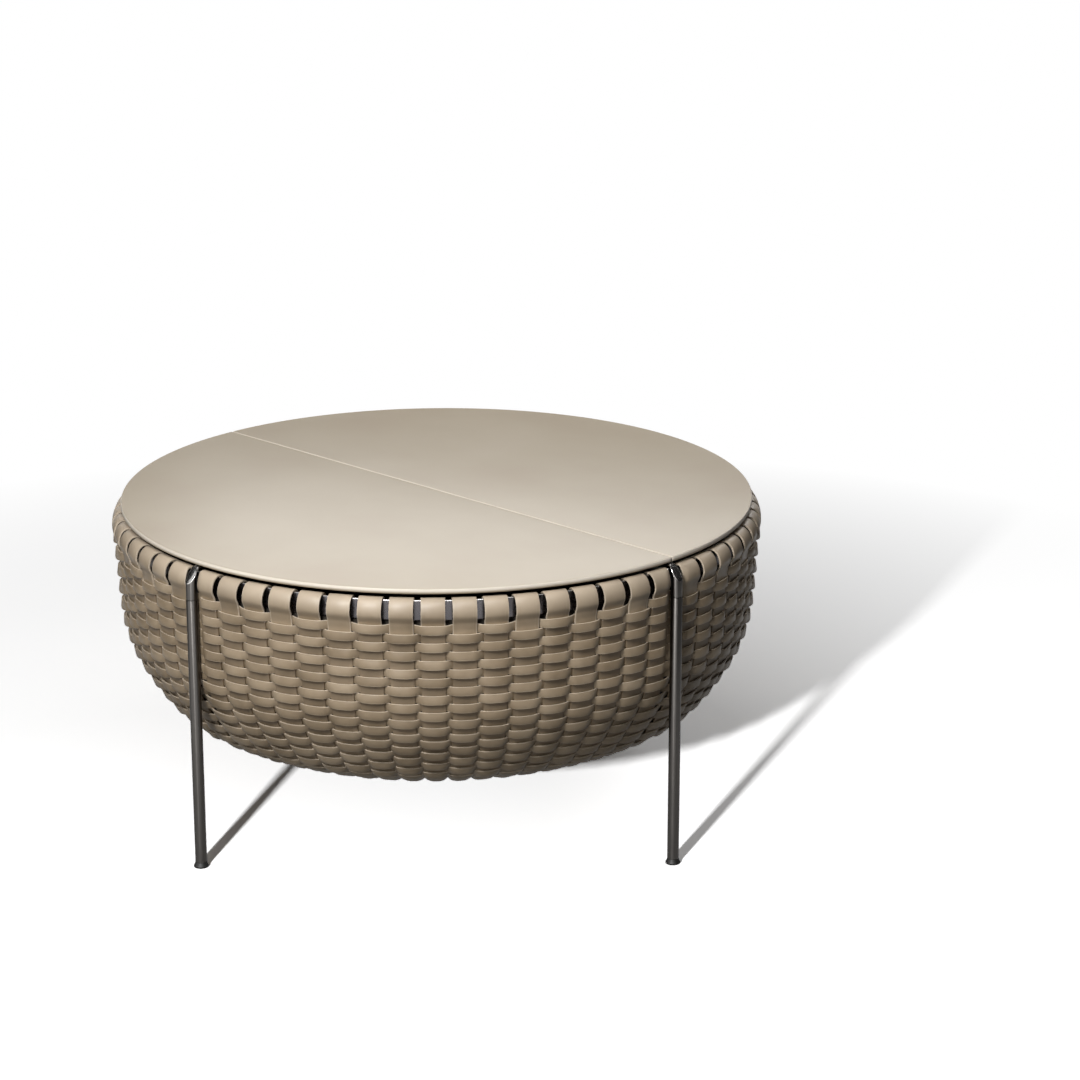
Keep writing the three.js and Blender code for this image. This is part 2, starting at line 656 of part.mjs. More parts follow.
function basketGeometry() {
  const columns = strapColumns();
  const positions = [];
  const faces = [];
  const legSurface = LEG_CIRCLE - TUBE_RADIUS - BEHIND_LEG;

  function addPoint(radius, height, angle, side) {
    const across = side * STRAP_WIDTH / 2;
    positions.push(Math.cos(angle) * radius - Math.sin(angle) * across);
    positions.push(Math.sin(angle) * radius + Math.cos(angle) * across);
    positions.push(height);
    return positions.length / 3 - 1;
  }

  function quad(a, b, c, d) {
    faces.push(a, b, c, a, c, d);
  }

  // One vertex in each column; a column behind a leg stays clear of its tube
  function ring(distance, offsetOf, legOffset) {
    return columns.map((column) => {
      const [radius, height] = bowlPoint(distance, offsetOf(column));
      const limit = column.strap === undefined ? legSurface - legOffset : radius;
      return addPoint(Math.min(radius, limit), height, column.angle, 0);
    });
  }

  // Two vertices in each strap's column, at its edges
  function edgeRing(offset, legOffset) {
    return columns.map((column) => {
      const [radius, height] = bowlPoint(0, offset);
      if (column.strap === undefined) {
        const point = addPoint(Math.min(radius, legSurface - legOffset), height, column.angle, 0);
        return { left: point, right: point };
      }
      const left = addPoint(radius, height, column.angle, -1);
      const right = addPoint(radius, height, column.angle, 1);
      return { left, right };
    });
  }

  function eachNeighbour(action) {
    columns.forEach((_, index) => action(index, (index + 1) % columns.length));
  }

  function outerBand(upper, lower) {
    eachNeighbour((a, b) => quad(lower[a], lower[b], upper[b], upper[a]));
  }

  function innerBand(upper, lower) {
    eachNeighbour((a, b) => quad(upper[a], upper[b], lower[b], lower[a]));
  }

  function woven(row) {
    return (column) => {
      if (column.strap === undefined) return -WEAVER_THICKNESS / 2;
      return (column.strap + row) % 2 === 1 ? 0 : -WEAVER_THICKNESS;
    };
  }

  const flat = () => -WEAVER_THICKNESS / 2;
  const inside = () => -SKIN_THICKNESS;

  // Outside: the woven rows, then the plain underside
  const outerRings = [];
  for (let row = 0; row < ROW_COUNT; row += 1) {
    outerRings.push(ring((row + 1 / 2) * ROW_PITCH, woven(row), 0));
  }
  const wovenLength = ROW_COUNT * ROW_PITCH;
  for (let step = 1; step <= UNDERSIDE_RINGS; step += 1) {
    const share = step / UNDERSIDE_RINGS;
    outerRings.push(ring(wovenLength + (BOWL_LENGTH - wovenLength) * share, flat, 0));
  }
  outerRings.slice(1).forEach((lower, index) => outerBand(outerRings[index], lower));

  // Inside: a plain wall at the skin's thickness
  const innerRings = [];
  for (let step = 0; step <= INNER_RINGS; step += 1) {
    innerRings.push(ring(BOWL_LENGTH * step / INNER_RINGS, inside, LINER_WALL));
  }
  innerRings.slice(1).forEach((lower, index) => innerBand(innerRings[index], lower));

  // The lower edge, round the hole that the base plate closes
  const outerEnd = outerRings[outerRings.length - 1];
  const innerEnd = innerRings[innerRings.length - 1];
  eachNeighbour((a, b) => quad(innerEnd[a], innerEnd[b], outerEnd[b], outerEnd[a]));

  // The upper edge: the straps leave it as loops and the spans between them are closed
  const front = edgeRing(-WEAVER_THICKNESS, 0);
  const back = edgeRing(-WEAVER_THICKNESS - STRAP_THICKNESS, LINER_WALL / 2);
  const firstRow = outerRings[0];
  const firstInner = innerRings[0];
  eachNeighbour((a, b) => {
    quad(firstRow[a], firstRow[b], front[b].left, front[a].right);
    quad(front[a].right, front[b].left, back[b].left, back[a].right);
    quad(back[a].right, back[b].left, firstInner[b], firstInner[a]);
  });

  const stations = loopStations();
  columns.forEach((column, index) => {
    if (column.strap === undefined) return;
    faces.push(firstRow[index], front[index].right, front[index].left);
    faces.push(back[index].left, back[index].right, firstInner[index]);
    let lower = [front[index].left, front[index].right, back[index].right, back[index].left];
    stations.forEach(({ radius, height, normal }) => {
      const backRadius = radius - normal.x * STRAP_THICKNESS;
      const backHeight = height - normal.y * STRAP_THICKNESS;
      const upper = [
        addPoint(radius, height, column.angle, -1),
        addPoint(radius, height, column.angle, 1),
        addPoint(backRadius, backHeight, column.angle, 1),
        addPoint(backRadius, backHeight, column.angle, -1),
      ];
      lower.forEach((corner, side) => {
        const next = (side + 1) % lower.length;
        quad(corner, lower[next], upper[next], upper[side]);
      });
      lower = upper;
    });
    quad(...lower);
  });

  const geometry = new THREE.BufferGeometry();
  geometry.setAttribute('position', new THREE.Float32BufferAttribute(positions, 3));
  geometry.setIndex(faces);
  geometry.computeVertexNormals();
  return geometry;
}

// Liner inside the weave, from under the hoop's edge down to a flat floor
function linerGeometry() {
  const widest = LEG_CIRCLE - TUBE_RADIUS - BEHIND_LEG - LINER_WALL - FIT;
  const walls = [SKIN_THICKNESS + LINER_CLEARANCE, SKIN_THICKNESS + LINER_CLEARANCE + LINER_WALL];
  const [outside, inside] = walls.map((depth, wall) => {
    const limit = widest - wall * LINER_WALL;
    const points = [[limit, HOOP_BOTTOM - FIT]];
    for (let step = 0; step <= INNER_RINGS; step += 1) {
      const [radius, height] = bowlPoint(BOWL_LENGTH * step / INNER_RINGS, -depth);
      points.push([Math.min(radius, limit), height]);
    }
    return [...points, [0, BOWL_BOTTOM + depth]];
  });
  return turned([...outside.reverse(), ...inside], LINER_SIDES);
}

function addBowl() {
  addMesh(table, 'woven_basket', basketGeometry(), strapLeather);
  addMesh(table, 'inner_bowl', linerGeometry(), linerFelt);

  const plateTop = BOWL_BOTTOM - FIT;
  const plateBottom = plateTop - BASE_PLATE;
  const plateRadius = BASE_OPENING + BASE_LAP;
  const coreRadius = BASE_OPENING - BASE_PLAY;
  const screwCircle = BASE_OPENING - BASE_SCREW_INSET;
  const coreTop = BOWL_BOTTOM + SKIN_THICKNESS;
  const linerFloor = BOWL_BOTTOM + SKIN_THICKNESS + LINER_CLEARANCE;
  const plateProfile = [[0, plateBottom], [plateRadius, plateBottom], [plateRadius, plateTop], [0, plateTop]];
  const coreProfile = [[0, BOWL_BOTTOM], [coreRadius, BOWL_BOTTOM], [coreRadius, coreTop], [0, coreTop]];
  const places = Array.from({ length: BASE_SCREW_COUNT }, (_, index) => {
    const angle = (index / BASE_SCREW_COUNT) * Math.PI * 2;
    return [Math.cos(angle) * screwCircle, Math.sin(angle) * screwCircle];
  });
  const plateHoles = places.map((place) => holeAt(place, plateBottom, plateTop + CUT_OVERRUN));
  const tip = linerFloor - FIT - LINER_CLEARANCE;
  const coreHoles = places.map((place) => holeAt(place, BOWL_BOTTOM, tip));
  addMesh(table, 'base_plate', cutAway(turned(plateProfile, LINER_SIDES), plateHoles), blackPlastic);
  addMesh(table, 'base_core', cutAway(turned(coreProfile, LINER_SIDES), coreHoles), boardWood);
  places.forEach(([x, y], index) => {
    const seat = plateBottom - FIT;
    const screw = addMesh(table, `base_screw_${index + 1}`, screwGeometry(tip - FIT - seat), zincSteel);
    screw.position.set(x, y, seat);
  });
}

addLeaves();
addHoopAndBeam();
addLegs();
addHinges();
addBowl();

export default table;
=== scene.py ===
# %% [markdown]
# # A round table with a woven leather bowl
# The table is a thin round top over a deep bowl. The top is two half-moon leaves wrapped in
# leather, and one of them lifts. The bowl is woven from upright straps that loop over a metal
# hoop and from level straps that run round it. Four slim legs stand outside the bowl and reach in
# under the top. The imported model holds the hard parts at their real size, and this script gives
# every part its finish.

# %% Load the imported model
import math

import bmesh
import bpy
import numpy as np
from mathutils import Matrix, Vector
from mathutils.geometry import interpolate_bezier


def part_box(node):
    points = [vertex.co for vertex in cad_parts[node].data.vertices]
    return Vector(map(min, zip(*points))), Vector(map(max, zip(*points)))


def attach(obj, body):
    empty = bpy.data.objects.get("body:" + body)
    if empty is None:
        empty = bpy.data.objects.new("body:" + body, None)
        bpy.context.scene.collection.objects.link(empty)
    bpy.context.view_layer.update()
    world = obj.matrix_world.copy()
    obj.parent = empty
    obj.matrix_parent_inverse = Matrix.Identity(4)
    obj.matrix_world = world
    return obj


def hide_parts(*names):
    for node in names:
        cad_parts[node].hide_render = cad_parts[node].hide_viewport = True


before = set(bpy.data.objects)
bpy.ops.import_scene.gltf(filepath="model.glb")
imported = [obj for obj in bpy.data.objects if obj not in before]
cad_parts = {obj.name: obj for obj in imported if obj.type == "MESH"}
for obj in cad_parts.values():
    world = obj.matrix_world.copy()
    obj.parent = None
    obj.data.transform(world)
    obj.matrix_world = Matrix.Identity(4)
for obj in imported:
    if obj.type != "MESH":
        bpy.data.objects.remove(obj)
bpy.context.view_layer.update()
bpy.ops.object.select_all(action="DESELECT")
print("nodes in the frame:", len(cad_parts))

# %% [markdown]
# ## Sizes
# A piece fits only if it takes its size from its neighbours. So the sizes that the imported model
# already has are read from its boxes, and only what this script adds gets a number of its own.
# Everything is in metres, and small sizes are written in millimetres times MM.

# %% Read the main sizes
MM = 0.001

TOP_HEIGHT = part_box("lid_cover")[1].z
LEAF_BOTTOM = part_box("lid_cover")[0].z
TOP_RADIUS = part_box("lid_cover")[1].x
HALF_SEAM = -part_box("lid_cover")[1].y
HOOP_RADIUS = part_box("rim_hoop")[1].x
HOOP_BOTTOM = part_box("rim_hoop")[0].z
HOOP_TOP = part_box("rim_hoop")[1].z
TUBE_LOW, TUBE_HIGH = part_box("leg_tube_1")
TUBE_RADIUS = (TUBE_HIGH.x - TUBE_LOW.x) / 2
LEG_CIRCLE = (TUBE_HIGH.x + TUBE_LOW.x) / 2
LEG_COUNT = 4
print(f"top {TOP_RADIUS * 2:.3f} m across, {TOP_HEIGHT:.3f} m high, legs at {LEG_CIRCLE:.3f} m")

# %% [markdown]
# ## Camera
# The table is seen from well back with a long lens, a little from above, so its top is a narrow
# ellipse and its legs look upright. The camera stands on a circle round the table and looks a
# little past it, which puts the table left of the middle of the picture.

# %% Place the camera
CAMERA_DISTANCE = 4.656
CAMERA_HEIGHT = 1.870
CAMERA_AZIMUTH = math.radians(-44.08)
CAMERA_TILT = math.radians(17.555)
CAMERA_ASIDE = math.radians(-1.97)
LENS = 103.8

camera = bpy.data.objects.new("camera", bpy.data.cameras.new("camera"))
bpy.context.scene.collection.objects.link(camera)
camera.location = (
    math.cos(CAMERA_AZIMUTH) * CAMERA_DISTANCE,
    math.sin(CAMERA_AZIMUTH) * CAMERA_DISTANCE,
    CAMERA_HEIGHT,
)
heading = CAMERA_AZIMUTH + math.pi + CAMERA_ASIDE
camera.rotation_euler = (math.pi / 2 - CAMERA_TILT, 0, heading - math.pi / 2)
camera.data.lens = LENS
camera.data.clip_end = 50
bpy.context.scene.camera = camera
bpy.context.scene.view_settings.view_transform = "Standard"
print("camera at", [round(c, 3) for c in camera.location])

# %% [markdown]
# ## Finishes: small helpers
# Colours are written as sRGB hex codes, as a designer would note them, and Blender works with
# linear light, so one function turns one into the other. A finish starts from the standard shader
# with the typical values of its material. One function then adds any node, with its settings, its
# links and the colour stops of a ramp, and one links an output to a socket that is already there,
# so that each finish below reads as a short list.

# %% Colour and node helpers
def colour(code):
    parts = [int(code[i:i + 2], 16) / 255 for i in (1, 3, 5)]
    linear = [c / 12.92 if c <= 0.04045 else ((c + 0.055) / 1.055) ** 2.4 for c in parts]
    return (*linear, 1)


def new_finish(name, **sockets):
    material = bpy.data.materials.new(name)
    material.use_nodes = True
    shader = material.node_tree.nodes["Principled BSDF"]
    for socket, value in sockets.items():
        shader.inputs[socket.replace("_", " ")].default_value = value
    return material, shader


def wire(source, target):
    target.id_data.links.new(source, target)


def add_node(material, kind, inputs=None, stops=(), **settings):
    made = material.node_tree.nodes.new(kind)
    for name, value in settings.items():
        setattr(made, name, value)
    for name, value in (inputs or {}).items():
        if isinstance(value, bpy.types.NodeSocket):
            wire(value, made.inputs[name])
        else:
            made.inputs[name].default_value = value
    for _ in stops[2:]:
        made.color_ramp.elements.new(0.5)
    for index, (place, code) in enumerate(stops):
        made.color_ramp.elements[index].position = place
        made.color_ramp.elements[index].color = colour(code)
    return made


print("test grey:", [round(c, 3) for c in colour("#808080")])

# %% [markdown]
# ## Saddle leather of the straps
# Vegetable-tanned saddle leather is thick and firm. Its face is pressed smooth and waxed, so it
# has a soft, wide highlight, and its tone drifts from strap to strap. The drift comes from noise
# on object coordinates plus an attribute that each strap carries. The real grain is finer than
# half a millimetre and wouldn't show, so it is drawn at 2.2 mm. One function makes the leather
# from its four tones and its roughness, because three kinds of it are needed.

# %% Strap leather
NOISE_UNIT = 1.0
LEATHER_IOR = 1.45
GRAIN_STRENGTH = 0.35
STRAP_GRAIN = {"drift_size": 60 * MM, "grain_size": 2.2 * MM, "grain_depth": 0.12 * MM}


def leather_face(name, dark, mid, pale, rub_and_highlight, roughness, drift_size, grain_size, grain_depth):
    material, shader = new_finish(name, Roughness=roughness, IOR=LEATHER_IOR)
    place = add_node(material, "ShaderNodeTexCoord").outputs
    drift = add_node(material, "ShaderNodeTexNoise", {
        "Vector": place["Object"], "Scale": NOISE_UNIT / drift_size, "Detail": 3})
    tone = add_node(material, "ShaderNodeAttribute", attribute_name="tone")
    total = add_node(material, "ShaderNodeMath", {
        0: drift.outputs["Fac"], 1: tone.outputs["Fac"]}, operation="ADD")
    face = add_node(material, "ShaderNodeValToRGB", {"Fac": total.outputs[0]}, stops=[
        (0.25, dark), (0.5, mid), (0.75, pale)])
    mixed = add_node(material, "ShaderNodeMix", {
        0: 0.0, 6: face.outputs["Color"], 7: colour(rub_and_highlight)}, data_type="RGBA")
    grain = add_node(material, "ShaderNodeTexNoise", {
        "Vector": place["Object"], "Scale": NOISE_UNIT / grain_size, "Detail": 4})
    bump = add_node(material, "ShaderNodeBump", {
        "Height": grain.outputs["Fac"], "Strength": GRAIN_STRENGTH, "Distance": grain_depth})
    wire(mixed.outputs[2], shader.inputs["Base Color"])
    wire(bump.outputs["Normal"], shader.inputs["Normal"])
    return material, place, mixed.inputs[0], bump.inputs["Normal"]


strap_leather, place, rub_highlight_share, under_grain = leather_face(
    "saddle_leather_waxed", "#7B6B55", "#8F7E67", "#A08F78", "#C9BAA7",
    roughness=0.4, **STRAP_GRAIN)
print("made", strap_leather.name)

# %% [markdown]
# ## Wear, painted highlight and painted shade on the straps
# Near a cut edge the face is worn paler by rubbing, and a creasing iron has pressed a fine line
# beside it. The loops over the hoop are painted paler towards the top, a painted highlight of
# the light from above. The pale edge and the crease come from the strap's own UV map, which runs
# from 0 to 1 across it, because they follow the strap wherever it bends. The painted highlight on
# the loops comes from the height. Under the weavers the uprights get the same leather in a darker
# finish without the pale edges: painted shade where the weavers shade them.

# %% Rubbed edges, crease and painted highlight on the loops
EDGE_SHARE = 0.07
EDGE_RUB = 0.6
CREASE_SHARE = 0.1
CREASE_HALF_WIDTH = 0.03
CREASE_STRENGTH = 0.6
CREASE_DEPTH = 0.3 * MM
# The next three numbers set the painted highlight: the loops painted paler towards the top.
LOOP_HIGHLIGHT_LOW = 50 * MM
LOOP_HIGHLIGHT_HIGH = 14 * MM
LOOP_HIGHLIGHT_SHARE = 0.5

across = add_node(strap_leather, "ShaderNodeSeparateXYZ", {"Vector": place["UV"]})
centred = add_node(strap_leather, "ShaderNodeMath", {
    0: across.outputs["X"], 1: 0.5}, operation="SUBTRACT")
aside = add_node(strap_leather, "ShaderNodeMath", {0: centred.outputs[0]}, operation="ABSOLUTE")
at_edge = add_node(strap_leather, "ShaderNodeMapRange", {
    "Value": aside.outputs[0], "From Min": 0.5 - EDGE_SHARE, "From Max": 0.5,
    "To Max": EDGE_RUB}, interpolation_type="SMOOTHSTEP")
height = add_node(strap_leather, "ShaderNodeSeparateXYZ", {"Vector": place["Object"]})
# Painted highlight: the loops are painted paler towards the top, as if lit from above.
loop_highlight = add_node(strap_leather, "ShaderNodeMapRange", {
    "Value": height.outputs["Z"], "From Min": TOP_HEIGHT - LOOP_HIGHLIGHT_LOW,
    "From Max": TOP_HEIGHT - LOOP_HIGHLIGHT_HIGH, "To Max": LOOP_HIGHLIGHT_SHARE}, interpolation_type="SMOOTHSTEP")
rub_and_highlight = add_node(strap_leather, "ShaderNodeMath", {
    0: at_edge.outputs[0], 1: loop_highlight.outputs[0]}, operation="MAXIMUM")
wire(rub_and_highlight.outputs[0], rub_highlight_share)
at_crease = add_node(strap_leather, "ShaderNodeMath", {
    0: aside.outputs[0], 1: 0.5 - CREASE_SHARE - CREASE_HALF_WIDTH, 2: CREASE_HALF_WIDTH},
    operation="COMPARE")
crease = add_node(strap_leather, "ShaderNodeBump", {
    "Height": at_crease.outputs[0], "Strength": CREASE_STRENGTH, "Distance": CREASE_DEPTH},
    invert=True)
wire(crease.outputs["Normal"], under_grain)

# The uprights under the weavers get a darker leather without pale edges: painted shade.
shaded_unrubbed_leather = leather_face(
    "saddle_leather_unrubbed_painted_shade", "#6C5D49", "#7D6D58", "#8C7B65", "#8C7B65",
    roughness=0.5, **STRAP_GRAIN)[0]
print("made", shaded_unrubbed_leather.name)

# %% [markdown]
# ## Cut edge of the straps
# A strap is cut from a hide, so its edge shows the undyed fibres: paler, and matt where the face
# is waxed. It is a finish of its own, which the rim faces of every strap get. The fibres are drawn
# at 1.5 mm, coarser than they are, so that they show. One noise gives both the two tones and the
# relief, spread over the middle range that most of it lies in, and the moulded parts further on
# are made in the same way.

# %% Cut leather edge
NOISE_LOW = 0.3
NOISE_HIGH = 0.7


def speckled(name, low, high, speck_size, detail, strength, depth, **sockets):
    material, shader = new_finish(name, **sockets)
    place = add_node(material, "ShaderNodeTexCoord").outputs
    specks = add_node(material, "ShaderNodeTexNoise", {
        "Vector": place["Object"], "Scale": NOISE_UNIT / speck_size, "Detail": detail})
    tone = add_node(material, "ShaderNodeValToRGB", {"Fac": specks.outputs["Fac"]}, stops=[
        (NOISE_LOW, low), (NOISE_HIGH, high)])
    bump = add_node(material, "ShaderNodeBump", {
        "Height": specks.outputs["Fac"], "Strength": strength, "Distance": depth})
    wire(tone.outputs["Color"], shader.inputs["Base Color"])
    wire(bump.outputs["Normal"], shader.inputs["Normal"])
    return material


cut_edge = speckled(
    "cut_leather_edge", "#A39480", "#C4B6A2", speck_size=1.5 * MM, detail=5, strength=0.5,
    depth=0.15 * MM, Roughness=0.68, IOR=LEATHER_IOR)
print("made", cut_edge.name)

# %% [markdown]
# ## Leather of the top
# The top is the same hide split thinner and pulled tight over each leaf: finer and smoother than
# the straps, with a sheen that grows at a low angle. Where it folds over an edge it is painted
# paler: partly wear from hands and polish, partly a painted highlight where the rounded fold
# catches the light, so on the rim only the upper part of the edge is painted. The fold is found
# from object coordinates: near the seam, or near the rim of the circle.

# %% Top leather
FOLD_BAND_WIDTH = 2.0 * MM
FOLD_LOW = 6.4 * MM
FOLD_HIGH = 3.2 * MM
RIM_RUB_AND_HIGHLIGHT = 0.95
SEAM_RUB_AND_HIGHLIGHT = 0.65

top_leather, place, rub_highlight_share = leather_face(
    "smooth_hide_wrapped", "#948570", "#998C77", "#9E917D", "#E2D9CB",
    roughness=0.38, drift_size=240 * MM, grain_size=1.6 * MM, grain_depth=0.05 * MM)[:3]
split = add_node(top_leather, "ShaderNodeSeparateXYZ", {"Vector": place["Object"]}).outputs
flat = add_node(top_leather, "ShaderNodeCombineXYZ", {"X": split["X"], "Y": split["Y"]})
out = add_node(top_leather, "ShaderNodeVectorMath", {0: flat.outputs[0]}, operation="LENGTH")
# Pale rim and seam bands: partly wear, partly a painted highlight of the light on the fold.
at_rim = add_node(top_leather, "ShaderNodeMapRange", {
    "Value": out.outputs["Value"], "From Min": TOP_RADIUS - FOLD_BAND_WIDTH, "From Max": TOP_RADIUS,
    "To Max": RIM_RUB_AND_HIGHLIGHT}, interpolation_type="SMOOTHSTEP")
aside = add_node(top_leather, "ShaderNodeMath", {0: split["Y"]}, operation="ABSOLUTE")
at_seam = add_node(top_leather, "ShaderNodeMapRange", {
    "Value": aside.outputs[0], "From Min": HALF_SEAM + FOLD_BAND_WIDTH,
    "From Max": HALF_SEAM + FOLD_BAND_WIDTH / 2, "To Max": SEAM_RUB_AND_HIGHLIGHT}, interpolation_type="SMOOTHSTEP")
upper = add_node(top_leather, "ShaderNodeMapRange", {
    "Value": split["Z"], "From Min": TOP_HEIGHT - FOLD_LOW, "From Max": TOP_HEIGHT - FOLD_HIGH})
# On the rim only the upper part of the edge, where the light falls, is painted: painted highlight.
upper_rim_rub_and_highlight = add_node(top_leather, "ShaderNodeMath", {
    0: at_rim.outputs[0], 1: upper.outputs[0]}, operation="MULTIPLY")
fold_rub_and_highlight = add_node(top_leather, "ShaderNodeMath", {
    0: upper_rim_rub_and_highlight.outputs[0], 1: at_seam.outputs[0]}, operation="MAXIMUM")
wire(fold_rub_and_highlight.outputs[0], rub_highlight_share)
print("made", top_leather.name)

# %% [markdown]
# ## Metals
# The legs are steel tube with a black nickel plating: a dark mirror blurred by a satin polish.
# The hoop has a greyer nickel, and its upper edge, the arms, the cut rims of the heads and the
# hinge links are bright. The fasteners and the beam are zinc plated. A metal keeps the default
# IOR, because its colour already says how it reflects. A leg is polished by a belt that runs
# round it, so its marks go round and smear each reflection up and down into long upright stripes.
# The shader's anisotropy does that, turned a quarter from the direction round the tube, and fine
# noise stretched along it gives the stripes small faults. Real polishing marks are too fine to
# show, so they are drawn 1.5 to 3 mm wide.

# %% Metal finishes
MARK_STRENGTH = 0.15
MARK_DEPTH = 0.03 * MM
QUARTER_TURN = 0.25


def plated(name, base, roughness, spread, mark_size, stretch, brushed=0.0):
    material, shader = new_finish(
        name, Metallic=1.0, Base_Color=colour(base), Anisotropic=brushed,
        Anisotropic_Rotation=QUARTER_TURN)
    place = add_node(material, "ShaderNodeTexCoord").outputs
    along = add_node(material, "ShaderNodeMapping", {
        "Vector": place["Object"], "Scale": (1, 1, stretch)})
    marks = add_node(material, "ShaderNodeTexNoise", {
        "Vector": along.outputs["Vector"], "Scale": NOISE_UNIT / mark_size, "Detail": 3})
    rough = add_node(material, "ShaderNodeMapRange", {
        "Value": marks.outputs["Fac"], "From Min": NOISE_LOW, "From Max": NOISE_HIGH,
        "To Min": roughness - spread, "To Max": roughness + spread})
    bump = add_node(material, "ShaderNodeBump", {
        "Height": marks.outputs["Fac"], "Strength": MARK_STRENGTH, "Distance": MARK_DEPTH})
    wire(rough.outputs[0], shader.inputs["Roughness"])
    wire(bump.outputs["Normal"], shader.inputs["Normal"])
    if brushed:
        round_tube = add_node(material, "ShaderNodeTangent", direction_type="RADIAL", axis="Z")
        wire(round_tube.outputs["Tangent"], shader.inputs["Tangent"])
    return material


black_nickel = plated(
    "black_nickel_satin", "#65625F", 0.36, 0.04, 1.5 * MM, stretch=0.04, brushed=0.85)
bright_nickel = plated("bright_nickel_polished", "#C9C6C3", 0.2, 0.04, 2 * MM, stretch=0.3)
hoop_nickel = plated("grey_nickel_rolled", "#6C696B", 0.26, 0.05, 2 * MM, stretch=0.3)
zinc_plate = plated("zinc_plated_steel", "#B4B5B3", 0.36, 0.08, 3 * MM, stretch=1)
print("made", black_nickel.name, bright_nickel.name, hoop_nickel.name, zinc_plate.name)

# %% [markdown]
# ## Wood, felt, plastic and rubber
# The leaves are thin birch plywood under the leather, the bowl has a liner of pressed felt, the
# feet and the base plate are moulded nylon, and the pads on the arms are rubber. Each has a
# pattern from the real one: grain lines 3 mm apart, wool fibres and a spark texture. Fibres and
# spark texture are far finer in reality and are drawn at 0.8 to 1.2 mm, so that they show.

# %% Wood
plywood, shader = new_finish("birch_plywood_sanded", Roughness=0.62, IOR=1.5)
place = add_node(plywood, "ShaderNodeTexCoord").outputs
along = add_node(plywood, "ShaderNodeMapping", {
    "Vector": place["Object"], "Scale": (0.06, 1, 1)}).outputs["Vector"]
bend = add_node(plywood, "ShaderNodeTexNoise", {
    "Vector": along, "Scale": NOISE_UNIT / (40 * MM), "Detail": 4, "Distortion": 0.6})
lines = add_node(plywood, "ShaderNodeTexNoise", {
    "Vector": along, "Scale": NOISE_UNIT / (3 * MM), "Detail": 3})
both = add_node(plywood, "ShaderNodeMath", {
    0: bend.outputs["Fac"], 1: lines.outputs["Fac"]}, operation="ADD")
half = add_node(plywood, "ShaderNodeMath", {0: both.outputs[0], 1: 0.5}, operation="MULTIPLY")
tone = add_node(plywood, "ShaderNodeValToRGB", {"Fac": half.outputs[0]}, stops=[
    (0.35, "#A98A62"), (0.5, "#BF9F74"), (0.65, "#CDB189")])
wire(tone.outputs["Color"], shader.inputs["Base Color"])
print("made", plywood.name)

# %% Felt
felt, shader = new_finish(
    "pressed_wool_felt", Roughness=0.95, Sheen_Weight=0.25, Sheen_Roughness=0.6)
place = add_node(felt, "ShaderNodeTexCoord").outputs
wool = add_node(felt, "ShaderNodeTexNoise", {
    "Vector": place["Object"], "Scale": NOISE_UNIT / (0.9 * MM), "Detail": 5, "Distortion": 1.5})
cloud = add_node(felt, "ShaderNodeTexNoise", {
    "Vector": place["Object"], "Scale": NOISE_UNIT / (25 * MM), "Detail": 3})
both = add_node(felt, "ShaderNodeMath", {
    0: wool.outputs["Fac"], 1: cloud.outputs["Fac"]}, operation="ADD")
half = add_node(felt, "ShaderNodeMath", {0: both.outputs[0], 1: 0.5}, operation="MULTIPLY")
tone = add_node(felt, "ShaderNodeValToRGB", {"Fac": half.outputs[0]}, stops=[
    (0.35, "#2E2923"), (0.65, "#4B443B")])
bump = add_node(felt, "ShaderNodeBump", {
    "Height": wool.outputs["Fac"], "Strength": 0.6, "Distance": 0.4 * MM})
wire(tone.outputs["Color"], shader.inputs["Base Color"])
wire(bump.outputs["Normal"], shader.inputs["Normal"])
print("made", felt.name)

# %% Moulded plastic and rubber
MOULDED = {"detail": 2, "strength": 0.4, "IOR": 1.53}
black_nylon = speckled(
    "black_nylon_moulded", "#161514", "#201F1E", speck_size=0.8 * MM, depth=0.04 * MM,
    Roughness=0.5, **MOULDED)
rubber = speckled(
    "black_rubber_moulded", "#121212", "#1A1A19", speck_size=1.2 * MM, depth=0.06 * MM,
    Roughness=0.8, **MOULDED)
print("made", black_nylon.name, rubber.name)

# %% [markdown]
# ## Helpers for making pieces
# Pieces are modelled as by hand: a primitive is added, edit mode shapes it, and a modifier gives
# it its wall or its eased edges and is applied. These helpers hold the steps that every piece
# shares: picking faces or edges by a test, applying a modifier, giving a finish, attaching it to
# the body it rides on, and hiding the imported node it stands for.

# %% Modelling helpers
def choose(piece):
    bpy.ops.object.select_all(action="DESELECT")
    bpy.context.view_layer.objects.active = piece
    piece.select_set(True)


def start_edit(piece, start="DESELECT"):
    choose(piece)
    bpy.ops.object.mode_set(mode="EDIT")
    bpy.ops.mesh.select_all(action=start)


def end_edit():
    bpy.ops.object.mode_set(mode="OBJECT")


def pick(piece, kind, test):
    bpy.ops.mesh.select_all(action="DESELECT")
    bpy.ops.mesh.select_mode(type=kind)
    edited = bmesh.from_edit_mesh(piece.data)
    for element in {"FACE": edited.faces, "EDGE": edited.edges, "VERT": edited.verts}[kind]:
        element.select_set(test(element))
    bmesh.update_edit_mesh(piece.data)


def pick_faces(piece, test):
    pick(piece, "FACE", test)


def pick_edges(piece, test):
    pick(piece, "EDGE", lambda edge: test(*(vertex.co for vertex in edge.verts)))


def apply_modifier(piece, kind, **settings):
    bpy.context.view_layer.objects.active = piece
    modifier = piece.modifiers.new(kind.lower(), kind)
    for name, value in settings.items():
        setattr(modifier, name, value)
    bpy.ops.object.modifier_apply(modifier=modifier.name)


def ease_edges(piece, width, segments=2, angle=30):
    apply_modifier(
        piece, "BEVEL", width=width, segments=segments, limit_method="ANGLE",
        angle_limit=math.radians(angle), use_clamp_overlap=True)


